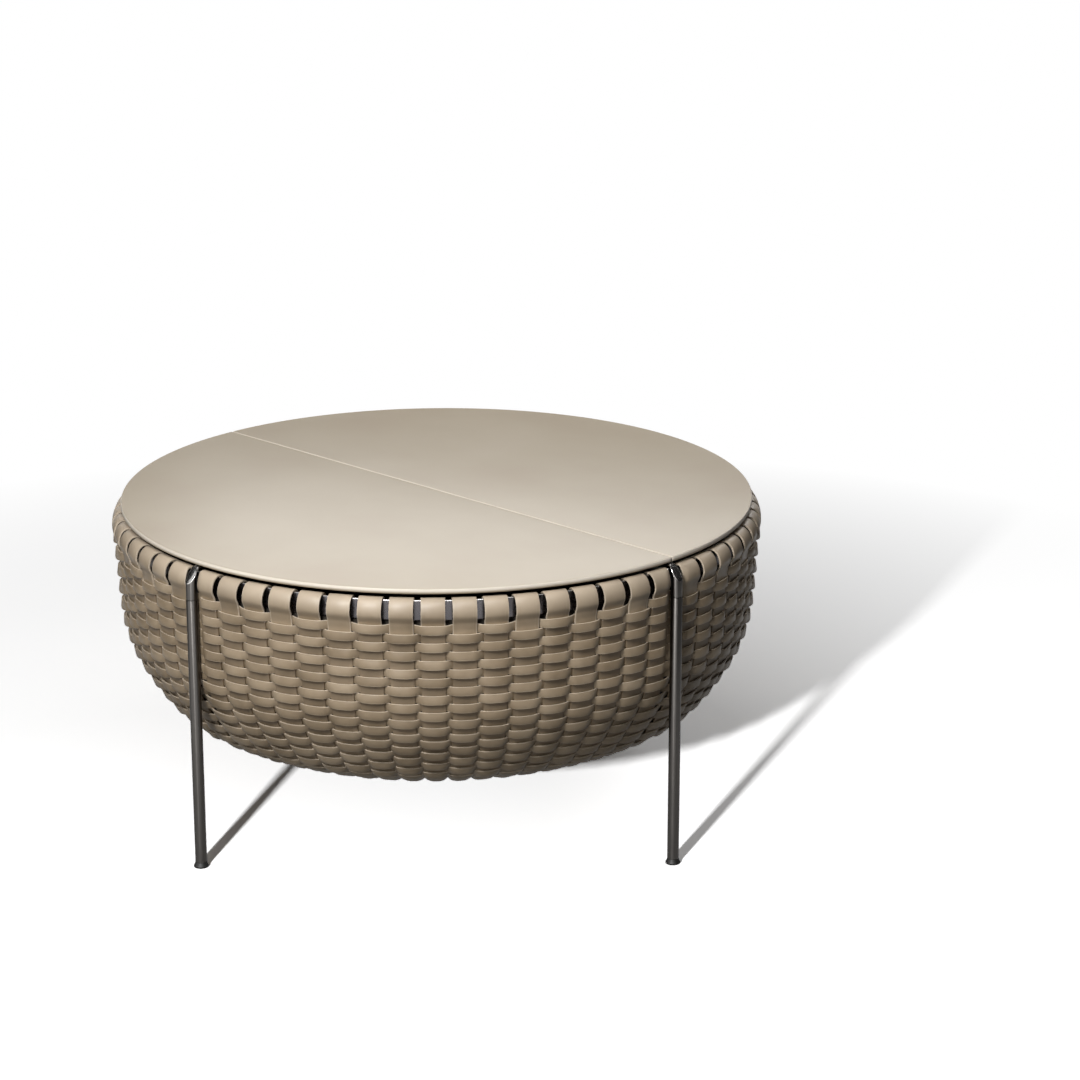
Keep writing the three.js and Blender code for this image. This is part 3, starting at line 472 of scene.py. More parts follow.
def shade(piece, angle=40):
    choose(piece)
    bpy.ops.object.shade_smooth_by_angle(angle=math.radians(angle))


def settle(piece):
    choose(piece)
    bpy.ops.object.transform_apply(location=True, rotation=True, scale=True)


def coat(piece, *materials):
    piece.data.materials.clear()
    for material in materials:
        piece.data.materials.append(material)


def finish_piece(piece, name, nodes, body="frame"):
    piece.name = name
    piece.data.name = name
    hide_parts(*nodes)
    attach(piece, body)
    return piece


def turned_copy(piece, angle):
    twin = bpy.data.objects.new(piece.name, piece.data.copy())
    twin.data.transform(Matrix.Rotation(angle, 4, "Z"))
    bpy.context.scene.collection.objects.link(twin)
    return twin


LEG_ANGLES = [math.tau * index / LEG_COUNT for index in range(LEG_COUNT)]
print("legs at", [round(math.degrees(angle)) for angle in LEG_ANGLES], "degrees")

# %% [markdown]
# ## Outline of the bowl
# Seen from the side the bowl drops almost straight from the hoop and then turns in to a flat
# bottom. Its outline is a smooth curve through ten points, written as shares of the bowl's radius
# and depth, and everything woven follows it: a place on the wall is a distance down this curve
# and an offset out of it. The curve is measured once in short steps, so that later cells can read
# it quickly.

# %% Measure the bowl's outline
WEAVE_BULGE = 12 * MM
HOOP_CLEARANCE = 3.3 * MM
BASKET_RADIUS = HOOP_RADIUS + WEAVE_BULGE
WEAVE_TOP = HOOP_BOTTOM - HOOP_CLEARANCE
BOWL_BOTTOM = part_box("base_core")[0].z
BOWL_DEPTH = WEAVE_TOP - BOWL_BOTTOM
OUTLINE_SHARES = [
    (1, 0), (0.992, 0.126), (0.986, 0.288), (0.972, 0.468), (0.93, 0.637),
    (0.847, 0.828), (0.784, 0.897), (0.69, 0.955), (0.588, 0.986), (0.438, 1),
]
OUTLINE_STEPS = 60


def spline_points(points, steps):
    padded = [points[0], *points, points[-1]]
    found = []
    for before, start, end, after in zip(padded, padded[1:], padded[2:], padded[3:]):
        out, into = (end - before) / 2, (after - start) / 2
        for t in np.arange(steps) / steps:
            cubic = 2 * start - 2 * end + out + into
            square = 3 * end - 3 * start - 2 * out - into
            found.append(cubic * t ** 3 + square * t ** 2 + out * t + start)
    return np.array([*found, points[-1]])


outline_points = [
    np.array([r * BASKET_RADIUS, WEAVE_TOP - d * BOWL_DEPTH]) for r, d in OUTLINE_SHARES]
outline = spline_points(outline_points, OUTLINE_STEPS)
steps = np.linalg.norm(np.diff(outline, axis=0), axis=1)
distances = np.concatenate([[0], np.cumsum(steps)])
slopes = np.gradient(outline, distances, axis=0)
slopes /= np.linalg.norm(slopes, axis=1)[:, None]
BOWL_LENGTH = distances[-1]


def wall_point(distance, offset):
    radius, height = (np.interp(distance, distances, outline[:, axis]) for axis in (0, 1))
    along_r, along_z = (np.interp(distance, distances, slopes[:, axis]) for axis in (0, 1))
    return radius - along_z * offset, height + along_r * offset


print(f"outline {BOWL_LENGTH:.3f} m long, {BOWL_DEPTH:.3f} m deep")

# %% [markdown]
# ## How the weave is laid out
# Each quarter between two legs has 17 upright straps with a slot between them, and a wider gap is
# left for the leg. The level straps, called weavers here, go over one upright and behind the
# next, and the next row does the opposite. The centres of the uprights and one row height fix the
# whole pattern.

# %% Lay out the weave
STRAPS_PER_QUARTER = 17
STRAP_WIDTH = 34.6 * MM
LEG_GAP = 28 * MM
ROW_PITCH = 13.6 * MM
ROW_TOTAL = int(BOWL_LENGTH / ROW_PITCH)

QUARTER = math.tau / LEG_COUNT
FREE_WIDTH = QUARTER * BASKET_RADIUS - STRAPS_PER_QUARTER * STRAP_WIDTH - LEG_GAP
STRAP_SPAN = (STRAP_WIDTH + FREE_WIDTH / (STRAPS_PER_QUARTER - 1)) / BASKET_RADIUS
FIRST_CENTRE = (QUARTER - (STRAPS_PER_QUARTER - 1) * STRAP_SPAN) / 2
STRAP_CENTRES = [
    quarter * QUARTER + FIRST_CENTRE + strap * STRAP_SPAN
    for quarter in range(LEG_COUNT) for strap in range(STRAPS_PER_QUARTER)
]
print(f"{len(STRAP_CENTRES)} straps every {math.degrees(STRAP_SPAN):.2f} degrees, {ROW_TOTAL} rows")

# %% [markdown]
# ## A strip of leather
# Every strap is a flat strip bent along some path. The quickest honest way to make one is a flat
# grid whose points are moved onto the path by a formula, then a Solidify modifier for the
# thickness, with the cut-edge finish on its rim, and a small Bevel, because a knife-sharp edge
# never catches the light. The grid brings its own UV map, which later tells the leather where its
# edges are.

# %% Strip maker
NEAR = 0.01 * MM


def bent_grid(across, along, shape):
    bpy.ops.object.select_all(action="DESELECT")
    bpy.ops.mesh.primitive_grid_add(x_subdivisions=across, y_subdivisions=along, size=1)
    grid = bpy.context.object
    flat = np.empty(len(grid.data.vertices) * 3)
    grid.data.vertices.foreach_get("co", flat)
    flat = flat.reshape(-1, 3) + 0.5
    bent = shape(flat[:, 0], flat[:, 1])
    grid.data.vertices.foreach_set("co", bent.ravel())
    grid.data.update()
    return grid


def merge_seam(piece):
    start_edit(piece, "SELECT")
    bpy.ops.mesh.remove_doubles(threshold=NEAR)
    end_edit()


def thicken(piece, thickness, offset=0.0, rim=1, even=True):
    apply_modifier(
        piece, "SOLIDIFY", thickness=thickness, offset=offset, use_even_offset=even,
        material_offset_rim=rim)


def give_tone(piece, value):
    tones = piece.data.attributes.new("tone", "FLOAT", "POINT")
    tones.data.foreach_set("value", np.full(len(piece.data.vertices), value, np.float32))


# %% [markdown]
# ## Upright straps
# An upright starts as a short tail inside the hoop, goes over it in a soft arch that bulges out,
# and runs down the wall to the base plate, moving out and in by a millimetre as the weavers pass
# behind and in front of it. Towards the bottom the straps would overlap, so they narrow with the
# radius. Uprights that start over and under take turns, and the ones next to a leg are pressed in
# on that side to let it stand free, so six kinds are modelled and copied round the bowl.

# %% Path of an upright strap
STRAP_THICKNESS = 2.6 * MM
ARCH_CENTRE = HOOP_RADIUS - 2.5 * MM
HOOP_DIP = 2.5 * MM
ARCH_CLEAR = 0.2 * MM
ARCH_TOP = HOOP_TOP - HOOP_DIP + ARCH_CLEAR + STRAP_THICKNESS / 2
ARCH_REACH = 15.5 * MM
ARCH_DROP = 21.5 * MM
TAIL_REACH = 11 * MM
TAIL_DROP = 9 * MM
ARCH_STEPS = 12
JOIN_STEPS = 8
STRAP_REST = -4.0 * MM
STRAP_SWAY = 0.6 * MM
POINTS_PER_ROW = 4


def strap_path(starts_over):
    turns = np.linspace(0, math.pi / 2, ARCH_STEPS)
    tail_foot, arch_foot = ARCH_TOP - TAIL_DROP, ARCH_TOP - ARCH_DROP
    tail = [(ARCH_CENTRE - math.cos(t) * TAIL_REACH, tail_foot + math.sin(t) * TAIL_DROP)
            for t in turns[:-1]]
    arch = [(ARCH_CENTRE + math.sin(t) * ARCH_REACH, arch_foot + math.cos(t) * ARCH_DROP)
            for t in turns]
    rows = np.arange(0, BOWL_LENGTH, ROW_PITCH / POINTS_PER_ROW)
    sway = np.cos(math.pi * (rows / ROW_PITCH - 0.5)) * (1 if starts_over else -1)
    fade = np.clip(rows / ROW_PITCH * 2, 0, 1)
    wall_r, wall_z = wall_point(rows, STRAP_REST + STRAP_SWAY * sway * fade)
    top, low = Vector((*arch[-1], 0)), Vector((wall_r[0], wall_z[0], 0))
    reach = (top.y - low.y) / 3
    down = Vector((0, -reach, 0))
    join = interpolate_bezier(top, top + down, low - down, low, JOIN_STEPS)[1:-1]
    path = [*tail, *arch, *((p.x, p.y) for p in join), *zip(wall_r, wall_z)]
    return np.array(path)


print("points along an upright:", len(strap_path(starts_over=True)))

# %% Model the six kinds of upright
EDGE_EASE = 0.45 * MM
STRAP_ACROSS = 2
LEG_STRAP_ACROSS = 6
NARROW_SHARE = 0.9
PRESS_DEPTH = 5.5 * MM
PRESS_NEAR = TUBE_RADIUS + 2 * MM
PRESS_FAR = TUBE_RADIUS + 15 * MM
# Below this height an upright gets the darker leather: painted shade under the weavers.
PAINTED_SHADE_ROWS = 1.3
PAINTED_SHADE_TOP = float(wall_point(PAINTED_SHADE_ROWS * ROW_PITCH, 0)[1])


def ease_between(value, start, end):
    share = np.clip((value - start) / (end - start), 0, 1)
    return share * share * (3 - 2 * share)


def upright_strap(starts_over, leg_side):
    path = strap_path(starts_over)
    radius, height = path[:, 0], path[:, 1]
    widest = np.minimum(STRAP_WIDTH, radius * STRAP_SPAN * NARROW_SHARE)
    to_leg = FIRST_CENTRE * BASKET_RADIUS

    def shape(u, v):
        row = np.rint(v * (len(path) - 1)).astype(int)
        across = (u - 0.5) * widest[row]
        press = 1 - ease_between(to_leg - leg_side * across, PRESS_NEAR, PRESS_FAR)
        press *= abs(leg_side) * ease_between(radius[row], HOOP_RADIUS, BASKET_RADIUS)
        return np.stack([radius[row] - press * PRESS_DEPTH, across, height[row]], axis=1)

    strap = bent_grid(LEG_STRAP_ACROSS if leg_side else STRAP_ACROSS, len(path) - 1, shape)
    coat(strap, strap_leather, cut_edge, shaded_unrubbed_leather)
    thicken(strap, STRAP_THICKNESS)
    ease_edges(strap, EDGE_EASE)
    # Faces low on the wall, cut edges too, get the darker leather: painted shade.
    for face in strap.data.polygons:
        if face.center.z < PAINTED_SHADE_TOP:
            face.material_index = 2
    shade(strap)
    return strap


pattern_straps = {
    (over, side): upright_strap(over, side) for over in (False, True) for side in (-1, 0, 1)}
print("an upright has", len(pattern_straps[True, 0].data.polygons), "faces")

# %% Copy the uprights round the bowl
TONE_SPREAD = 0.09
tones = np.random.default_rng(7)
for index, centre in enumerate(STRAP_CENTRES):
    in_quarter = index % STRAPS_PER_QUARTER
    leg_side = (in_quarter == STRAPS_PER_QUARTER - 1) - (in_quarter == 0)
    strap = turned_copy(pattern_straps[index % 2 == 1, leg_side], centre)
    give_tone(strap, tones.uniform(-TONE_SPREAD, TONE_SPREAD))
    finish_piece(strap, f"upright_strap_{index + 1:02d}", ["woven_basket"])
for pattern in pattern_straps.values():
    bpy.data.objects.remove(pattern)
print("uprights:", len(STRAP_CENTRES))

# %% [markdown]
# ## Weavers
# A weaver bows out where it passes over an upright and in where it passes behind one. A wave made
# with a hyperbolic tangent gives the flat-topped bow of firm leather. Over an upright its lower
# edge stands out more than its upper one, like a shingle, and more so where the wall turns in.
# Behind each leg it is pressed in, because the leg stands closer in than the bowl is wide.

# %% Shape of a weaver
WEAVER_WIDTH = 13.0 * MM
WEAVER_THICKNESS = 2.5 * MM
SHOWN_ROWS = 22
WEAVER_REST = -4.0 * MM
WEAVER_SWAY = 4.8 * MM
SWAY_FIRMNESS = 1.6
LEAN = 2.6 * MM
LEAN_LOW = 1.6 * MM
COLUMNS_PER_STRAP = 12
WEAVER_ACROSS = 2
LEG_CLEAR = 0.2 * MM
WEAVER_PRESSED = TUBE_RADIUS + 0.8 * MM
WEAVER_FREE = TUBE_RADIUS + 16 * MM

centres = np.array([*STRAP_CENTRES, STRAP_CENTRES[0] + math.tau])
column_angles = np.concatenate([
    np.linspace(start, end, COLUMNS_PER_STRAP, endpoint=False)
    for start, end in zip(centres, centres[1:])
] + [centres[-1:]])


def weaver(row):
    middle = (row + 0.5) * ROW_PITCH
    turn_in = 1 + np.interp(middle, distances, slopes[:, 1])

    def shape(u, v):
        column = np.rint(v * (len(column_angles) - 1)).astype(int)
        angle = column_angles[column]
        phase = math.pi * np.interp(angle, centres, np.arange(len(centres)))
        wave = np.cos(phase) * (-1 if row % 2 == 0 else 1)
        bow = np.tanh(SWAY_FIRMNESS * wave) / math.tanh(SWAY_FIRMNESS)
        over = np.clip(bow, 0, 1)
        lean = (u - 0.5) * (LEAN + LEAN_LOW * turn_in) * over
        offset = WEAVER_REST + WEAVER_SWAY * bow + lean
        radius, height = wall_point(middle + (u - 0.5) * WEAVER_WIDTH, offset)
        from_leg = np.abs((angle + QUARTER / 2) % QUARTER - QUARTER / 2) * LEG_CIRCLE
        press = 1 - ease_between(from_leg, WEAVER_PRESSED, WEAVER_FREE)
        limit = LEG_CIRCLE - TUBE_RADIUS - LEG_CLEAR - WEAVER_THICKNESS / 2
        radius += (np.minimum(radius, limit) - radius) * press
        return np.stack([np.cos(angle) * radius, np.sin(angle) * radius, height], axis=1)

    strip = bent_grid(WEAVER_ACROSS, len(column_angles) - 1, shape)
    merge_seam(strip)
    coat(strip, strap_leather, cut_edge)
    thicken(strip, WEAVER_THICKNESS)
    ease_edges(strip, EDGE_EASE, segments=2 if row < SHOWN_ROWS else 1)
    shade(strip)
    return strip


print("columns round the bowl:", len(column_angles) - 1)

# %% Weave the rows
for row in range(ROW_TOTAL):
    strip = weaver(row)
    give_tone(strip, tones.uniform(-TONE_SPREAD, TONE_SPREAD))
    finish_piece(strip, f"weaver_{row + 1:02d}", ["woven_basket"])
print("weavers:", ROW_TOTAL, "each with", len(strip.data.polygons), "faces")

# %% [markdown]
# ## The two leaves
# Each leaf is a thin board with a hide pulled over it and turned in underneath. A disc is cut in
# half, its corners at the seam are rounded, and its rims are eased as folded leather is. Under
# the leaf the hide ends 24 mm in, and the board shows inside that lip.

# %% Wrap the leaves
RIM_STEPS = 256
LEAF_CORNER = 3.4 * MM
FOLD_RADIUS = 2.2 * MM
TURN_IN = 24 * MM
HIDE_THICKNESS = 1.3 * MM
CORNER_STEPS = 6
FOLD_STEPS = 5
FACING = 0.9


def cylinder(sides, radius, low, high, centre_x=0.0, ends="NGON"):
    bpy.ops.mesh.primitive_cylinder_add(
        vertices=sides, radius=radius, depth=high - low, end_fill_type=ends,
        location=(centre_x, 0, (low + high) / 2))
    made = bpy.context.object
    settle(made)
    return made


def leaf_skin(side):
    skin = cylinder(RIM_STEPS, TOP_RADIUS, LEAF_BOTTOM, TOP_HEIGHT)
    start_edit(skin, "SELECT")
    bpy.ops.mesh.bisect(
        plane_co=(0, side * HALF_SEAM, 0), plane_no=(0, side, 0), use_fill=True, clear_inner=True)

    def at_corner(a, b):
        upright = abs(a.x - b.x) < NEAR and abs(a.y - b.y) < NEAR
        return upright and abs(a.y - side * HALF_SEAM) < NEAR

    pick_edges(skin, at_corner)
    bpy.ops.mesh.bevel(offset=LEAF_CORNER, segments=CORNER_STEPS, affect="EDGES")
    pick_faces(skin, lambda face: face.normal.z < -FACING)
    bpy.ops.mesh.extrude_region_move()
    middle = (TOP_RADIUS + HALF_SEAM) / 2
    share_x, share_y = 1 - TURN_IN / TOP_RADIUS, 1 - TURN_IN / (middle - HALF_SEAM)
    bpy.ops.transform.resize(
        value=(share_x, share_y, 1), center_override=(0, side * middle, LEAF_BOTTOM))
    bpy.ops.mesh.delete(type="FACE")

    def on_rim(a, b):
        level = abs(a.z - b.z) < NEAR
        reach = min(math.hypot(a.x, a.y), math.hypot(b.x, b.y))
        outermost = reach > TOP_RADIUS - LEAF_CORNER
        at_seam = max(abs(a.y), abs(b.y)) < LEAF_CORNER + HALF_SEAM
        return level and (outermost or at_seam)

    pick_edges(skin, on_rim)
    bpy.ops.mesh.bevel(offset=FOLD_RADIUS, segments=FOLD_STEPS, affect="EDGES")
    end_edit()
    thicken(skin, HIDE_THICKNESS, offset=-1, rim=0, even=False)
    shade(skin, 30)
    coat(skin, top_leather)
    return skin


fixed_skin = finish_piece(leaf_skin(1), "fixed_leaf_hide", ["fixed_leaf_cover"])
lid_skin = finish_piece(leaf_skin(-1), "lid_hide", ["lid_cover"], "lid")
for skin in (fixed_skin, lid_skin):
    give_tone(skin, 0)
print("leaf faces:", len(fixed_skin.data.polygons), len(lid_skin.data.polygons))

# %% [markdown]
# ## Hoop
# The hoop is a flat steel band on edge, rolled into a ring, with its upper and lower edges
# rounded over so that they don't cut the straps. An open cylinder gets a wall inwards, and a wide
# bevel rounds the edges. The straps have polished its upper edge, so that edge gets the bright
# finish.

# %% Roll the hoop
HOOP_WALL = 5 * MM
HOOP_EDGE = 2.3 * MM
BAND_TOP = HOOP_TOP - HOOP_DIP

hoop = cylinder(RIM_STEPS, HOOP_RADIUS, HOOP_BOTTOM, BAND_TOP, ends="NOTHING")
thicken(hoop, HOOP_WALL, offset=-1, rim=0)
ease_edges(hoop, HOOP_EDGE, segments=5, angle=60)
shade(hoop)
coat(hoop, hoop_nickel, bright_nickel)
for face in hoop.data.polygons:
    face.material_index = int(face.center.z > BAND_TOP - HOOP_EDGE / 2)
finish_piece(hoop, "hoop_band", ["rim_hoop"])
print("hoop faces:", len(hoop.data.polygons))

# %% [markdown]
# ## Legs
# A leg is a tube with a solid head that plugs into it, a flat arm that reaches in under the top,
# and a small foot that plugs into the tube's lower end. Each piece is modelled on the +X leg and
# copied to the other three. The tube is a cylinder without ends. Its wall is added inwards,
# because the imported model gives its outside, and its cut ends are eased a little.

# %% Tubes
TUBE_WALL = 1.6 * MM
TUBE_EASE = 0.4 * MM
ROUND_STEPS = 64

tube = cylinder(
    ROUND_STEPS, TUBE_RADIUS, TUBE_LOW.z, TUBE_HIGH.z, centre_x=LEG_CIRCLE, ends="NOTHING")
thicken(tube, TUBE_WALL, offset=-1, rim=0)
ease_edges(tube, TUBE_EASE)
shade(tube)
coat(tube, black_nickel)
print("tube faces:", len(tube.data.polygons))

# %% [markdown]
# ## Heads of the legs
# The head is a solid plug, cut on the slant and hollowed out for the arm. Bisect cuts a cylinder
# on a plane as a saw does, a bevel softens the rim of the cut, and an inset with an extrusion
# inwards makes the hollow. A boolean could cut it too, but it leaves long thin faces that a bevel
# trips over. The cut was polished after plating, so its rim is brighter than the tube.

# %% Slanted heads
FIT = 0.3 * MM
HEAD_RADIUS = TUBE_RADIUS - FIT
SHADOW_GAP = 1.0 * MM
HEAD_BOTTOM = TUBE_HIGH.z + SHADOW_GAP
SPIGOT_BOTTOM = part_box("leg_head_1")[0].z
ARM_BOTTOM = HOOP_TOP + FIT
SLASH_ANGLE = math.radians(52)
SLASH_NORMAL = Vector((math.sin(SLASH_ANGLE), 0, math.cos(SLASH_ANGLE)))
SLASH_RISE = 1.9 * MM
SLASH_POINT = Vector((HOOP_RADIUS + FIT, 0, ARM_BOTTOM)) + SLASH_NORMAL * SLASH_RISE
SLASH_LEAST_AREA = 50 * MM * MM
SLASH_FACING = 0.999
RIM_FACING = 0.4
RIM_WIDTH = 1.9 * MM
POCKET_DEPTH = 3.3 * MM
SLASH_EASE = 1.1 * MM
OPEN_TOP = 0.3 * MM


def push_out(move):
    bpy.ops.mesh.extrude_region_move(TRANSFORM_OT_translate={"value": move})


def from_slash(point):
    return (point - SLASH_POINT).dot(SLASH_NORMAL)


head = cylinder(ROUND_STEPS, HEAD_RADIUS, HEAD_BOTTOM, ARM_BOTTOM, centre_x=LEG_CIRCLE)
start_edit(head)
pick_faces(head, lambda face: face.normal.z < -FACING)
bpy.ops.mesh.inset(thickness=TUBE_WALL + FIT)
push_out((0, 0, SPIGOT_BOTTOM - HEAD_BOTTOM))
bpy.ops.mesh.select_all(action="SELECT")
bpy.ops.mesh.bisect(
    plane_co=SLASH_POINT, plane_no=SLASH_NORMAL, use_fill=True, clear_outer=True)
pick_edges(head, lambda a, b: max(abs(from_slash(a)), abs(from_slash(b))) < NEAR)
bpy.ops.mesh.bevel(offset=SLASH_EASE, segments=3, affect="EDGES")
pick_faces(head, lambda face: (
    face.normal.dot(SLASH_NORMAL) > SLASH_FACING and face.calc_area() > SLASH_LEAST_AREA))
bpy.ops.mesh.inset(thickness=RIM_WIDTH - SLASH_EASE)
edited = bmesh.from_edit_mesh(head.data)
pocket = [vertex for vertex in edited.verts if vertex.select]
upper_end = max(vertex.co.z for vertex in pocket)
uphill = SLASH_NORMAL.cross(Vector((0, 1, 0)))
for vertex in pocket:
    if vertex.co.z > upper_end - MM:
        vertex.co -= uphill * (RIM_WIDTH - SLASH_EASE - OPEN_TOP)
bmesh.update_edit_mesh(head.data)
push_out(SLASH_NORMAL * -POCKET_DEPTH)
end_edit()
coat(head, black_nickel, bright_nickel)
for face in head.data.polygons:
    on_cut = face.normal.dot(SLASH_NORMAL) > RIM_FACING and from_slash(face.center) > -MM
    face.material_index = int(on_cut and face.center.z > HEAD_BOTTOM + MM)
shade(head, 30)
print("head faces:", len(head.data.polygons))

# %% [markdown]
# ## Arms of the legs
# The arm is a bright flat bar that lies in the head's hollow and bends in under the top. It
# starts as a plane, whose outer edge is extruded down the slant. One bevel on the fold makes the
# bend, one on the corners of the tip rounds it, and Solidify comes after both, so that the bar is
# as thick in the bend as elsewhere.

# %% Bent arms
ARM_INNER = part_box("leg_arm_1")[0].x
ARM_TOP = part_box("leg_arm_1")[1].z
ARM_WIDTH = 12 * MM
ARM_THICKNESS = 3.0 * MM
ARM_SINK = 0.3 * MM
ARM_TIP_GAP = 2.2 * MM
ARM_TIP_FLAT = 0.4 * MM
ARM_BEND = 2 * MM
ARM_EASE = 0.45 * MM

slant = Vector((math.cos(SLASH_ANGLE), 0, -math.sin(SLASH_ANGLE)))
level_height = (ARM_TOP + ARM_BOTTOM) / 2
face_point = SLASH_POINT - SLASH_NORMAL * (ARM_SINK + ARM_THICKNESS / 2)
bend_back = (level_height - face_point.z) * SLASH_NORMAL.z / SLASH_NORMAL.x
bend = Vector((face_point.x - bend_back, 0, level_height))
tip_reach = (LEG_CIRCLE + HEAD_RADIUS - RIM_WIDTH - bend.x) / slant.x - ARM_TIP_GAP

bpy.ops.mesh.primitive_plane_add(size=1)
arm = bpy.context.object
arm.scale = (bend.x - ARM_INNER, ARM_WIDTH, 1)
arm.location = ((bend.x + ARM_INNER) / 2, 0, level_height)
settle(arm)
start_edit(arm)
pick_edges(arm, lambda a, b: min(a.x, b.x) > bend.x - NEAR)
push_out(slant * tip_reach)
pick_edges(arm, lambda a, b: max((p - bend).length for p in (a, b)) < ARM_WIDTH)
bpy.ops.mesh.bevel(offset=ARM_BEND, segments=5, affect="EDGES")
pick(arm, "VERT", lambda vertex: vertex.co.x > bend.x + slant.x * (tip_reach - MM))
bpy.ops.mesh.bevel(offset=ARM_WIDTH / 2 - ARM_TIP_FLAT, segments=8, affect="VERTICES")
end_edit()
thicken(arm, ARM_THICKNESS, rim=0)
ease_edges(arm, ARM_EASE)
shade(arm, 30)
coat(arm, bright_nickel)
print("arm faces:", len(arm.data.polygons))

# %% [markdown]
# ## Feet
# The foot is a moulded plug: a flared lip on the floor, a neck that narrows to the tube's width,
# and a stem that goes up into the tube. A round part is a stack of circles, so it is built up
# from the floor: the upper face is extruded and scaled, once for each change of width.

# %% Feet
FOOT_TOP = TUBE_LOW.z - FIT
FOOT_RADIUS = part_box("leg_foot_1")[1].x - LEG_CIRCLE
FOOT_LIP = 2.6 * MM
FOOT_WAIST = 4.6 * MM
FOOT_FLARE = 0.9 * MM
FOOT_EASE = 0.5 * MM
PLUG_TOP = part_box("leg_foot_1")[1].z

foot = cylinder(ROUND_STEPS, FOOT_RADIUS, 0, FOOT_LIP, centre_x=LEG_CIRCLE)
start_edit(foot)
pick_faces(foot, lambda face: face.normal.z > FACING)
level, width = FOOT_LIP, FOOT_RADIUS
for height, radius in ((FOOT_WAIST, TUBE_RADIUS + FOOT_FLARE), (FOOT_TOP, TUBE_RADIUS)):
    push_out((0, 0, height - level))
    share = radius / width
    bpy.ops.transform.resize(value=(share, share, 1), center_override=(LEG_CIRCLE, 0, 0))
    level, width = height, radius
bpy.ops.mesh.inset(thickness=TUBE_WALL + FIT)
push_out((0, 0, PLUG_TOP - FOOT_TOP))
end_edit()
ease_edges(foot, FOOT_EASE, angle=35)
shade(foot)
coat(foot, black_nylon)
print("foot faces:", len(foot.data.polygons))

# %% [markdown]
# ## Small hard parts
# Hinge cups, links, spacers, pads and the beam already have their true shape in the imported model.
# What they lack is the eased edge that sawing, pressing and tumbling leave, so each one is
# copied, its loose triangles are merged into clean faces, and a small bevel runs round its edges.

# %% Eased copies of small parts
def eased_copy(node, width, material):
    twin = bpy.data.objects.new("eased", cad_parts[node].data.copy())
    bpy.context.scene.collection.objects.link(twin)
    start_edit(twin, "SELECT")
    bpy.ops.mesh.remove_doubles(threshold=NEAR)
    bpy.ops.mesh.customdata_custom_splitnormals_clear()
    bpy.ops.mesh.dissolve_limited(angle_limit=math.radians(1))
    end_edit()
    ease_edges(twin, width, angle=25)
    shade(twin, 30)
    coat(twin, material)
    return twin


# %% Copy the leg pieces to the four legs
LEG_PLACES = ["front_right", "back_right", "back_left", "front_left"]
PAD_EASE = 0.3 * MM

# Model, name and slot
LEG_MODELS = [
    (tube, "tube", "dark_nickel"), (head, "head", "dark_nickel"), (arm, "arm", "dark_nickel"),
    (foot, "foot", "black_plastic"),
]
for label, (corner, angle) in enumerate(zip(LEG_PLACES, LEG_ANGLES), 1):
    for model, part, slot in LEG_MODELS:
        piece = turned_copy(model, angle)
        finish_piece(piece, f"{corner}_{part}", [f"leg_{part}_{label}"])
    pad = eased_copy(f"rest_pad_{label}", PAD_EASE, rubber)
    finish_piece(pad, f"{corner}_pad", [f"rest_pad_{label}"])
for model, part, slot in LEG_MODELS:
    bpy.data.objects.remove(model)
print("legs:", LEG_PLACES)

# %% Beam, spacers and hinges
BEAM_EASE = 0.8 * MM

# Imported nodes, name, width of the eased edges, finish, slot and body
EASED_PAIRS = [
    ("leaf_spacer", "spacer", 0.8 * MM, plywood, "board_wood", "frame"),
    ("hinge_fixed_cup", "fixed_cup", 0.5 * MM, zinc_plate, "zinc_steel", "frame"),
    ("hinge_lid_cup", "lid_cup", 0.5 * MM, zinc_plate, "zinc_steel", "lid"),
    ("hinge_link", "link", 0.4 * MM, bright_nickel, "bright_nickel", "hinge_links"),
]
beam = eased_copy("cross_beam", BEAM_EASE, zinc_plate)
finish_piece(beam, "seam_beam", ["cross_beam"])
for node, name, width, material, slot, body in EASED_PAIRS:
    for label, side in enumerate(("left", "right"), 1):
        piece = eased_copy(f"{node}_{label}", width, material)
        finish_piece(piece, f"{side}_{name}", [f"{node}_{label}"], body)
print("eased pairs:", len(EASED_PAIRS))

# %% [markdown]
# ## Screws and bolts
# All fasteners are hexagon-head screws of one size. The head is a six-sided cylinder with its
# corners eased, on a thin round washer face, and the shank is a round bar of the length that its
# node has. Each is turned to the direction in which it is driven.

# %% Drive the screws
SCREW_HEAD_HEIGHT = 3.5 * MM
SCREW_HEAD_RADIUS = 5 * MM
SCREW_HEAD_EASE = 0.5 * MM
SCREW_RADIUS = 2.5 * MM
SCREW_STEPS = 24
HEX_SIDES = 6
WASHER_FACE = 0.4 * MM
WASHER_SHARE = 0.86


def screw(node, direction):
    low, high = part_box(node)
    length = abs((high - low).dot(direction))
    seat = (low + high) / 2 - direction * (length / 2 - SCREW_HEAD_HEIGHT)
    made = cylinder(HEX_SIDES, SCREW_HEAD_RADIUS, -SCREW_HEAD_HEIGHT, -WASHER_FACE)
    ease_edges(made, SCREW_HEAD_EASE, angle=80)
    start_edit(made)
    bpy.ops.mesh.primitive_cylinder_add(
        vertices=SCREW_STEPS, radius=SCREW_HEAD_RADIUS * WASHER_SHARE, depth=WASHER_FACE,
        location=(0, 0, -WASHER_FACE / 2))
    shank = length - SCREW_HEAD_HEIGHT
    bpy.ops.mesh.primitive_cylinder_add(
        vertices=SCREW_STEPS, radius=SCREW_RADIUS, depth=shank, location=(0, 0, shank / 2))
    end_edit()
    turn = direction.to_track_quat("Z", "Y").to_matrix().to_4x4()
    made.data.transform(Matrix.Translation(seat) @ turn)
    shade(made, 30)
    coat(made, zinc_plate)
    return made


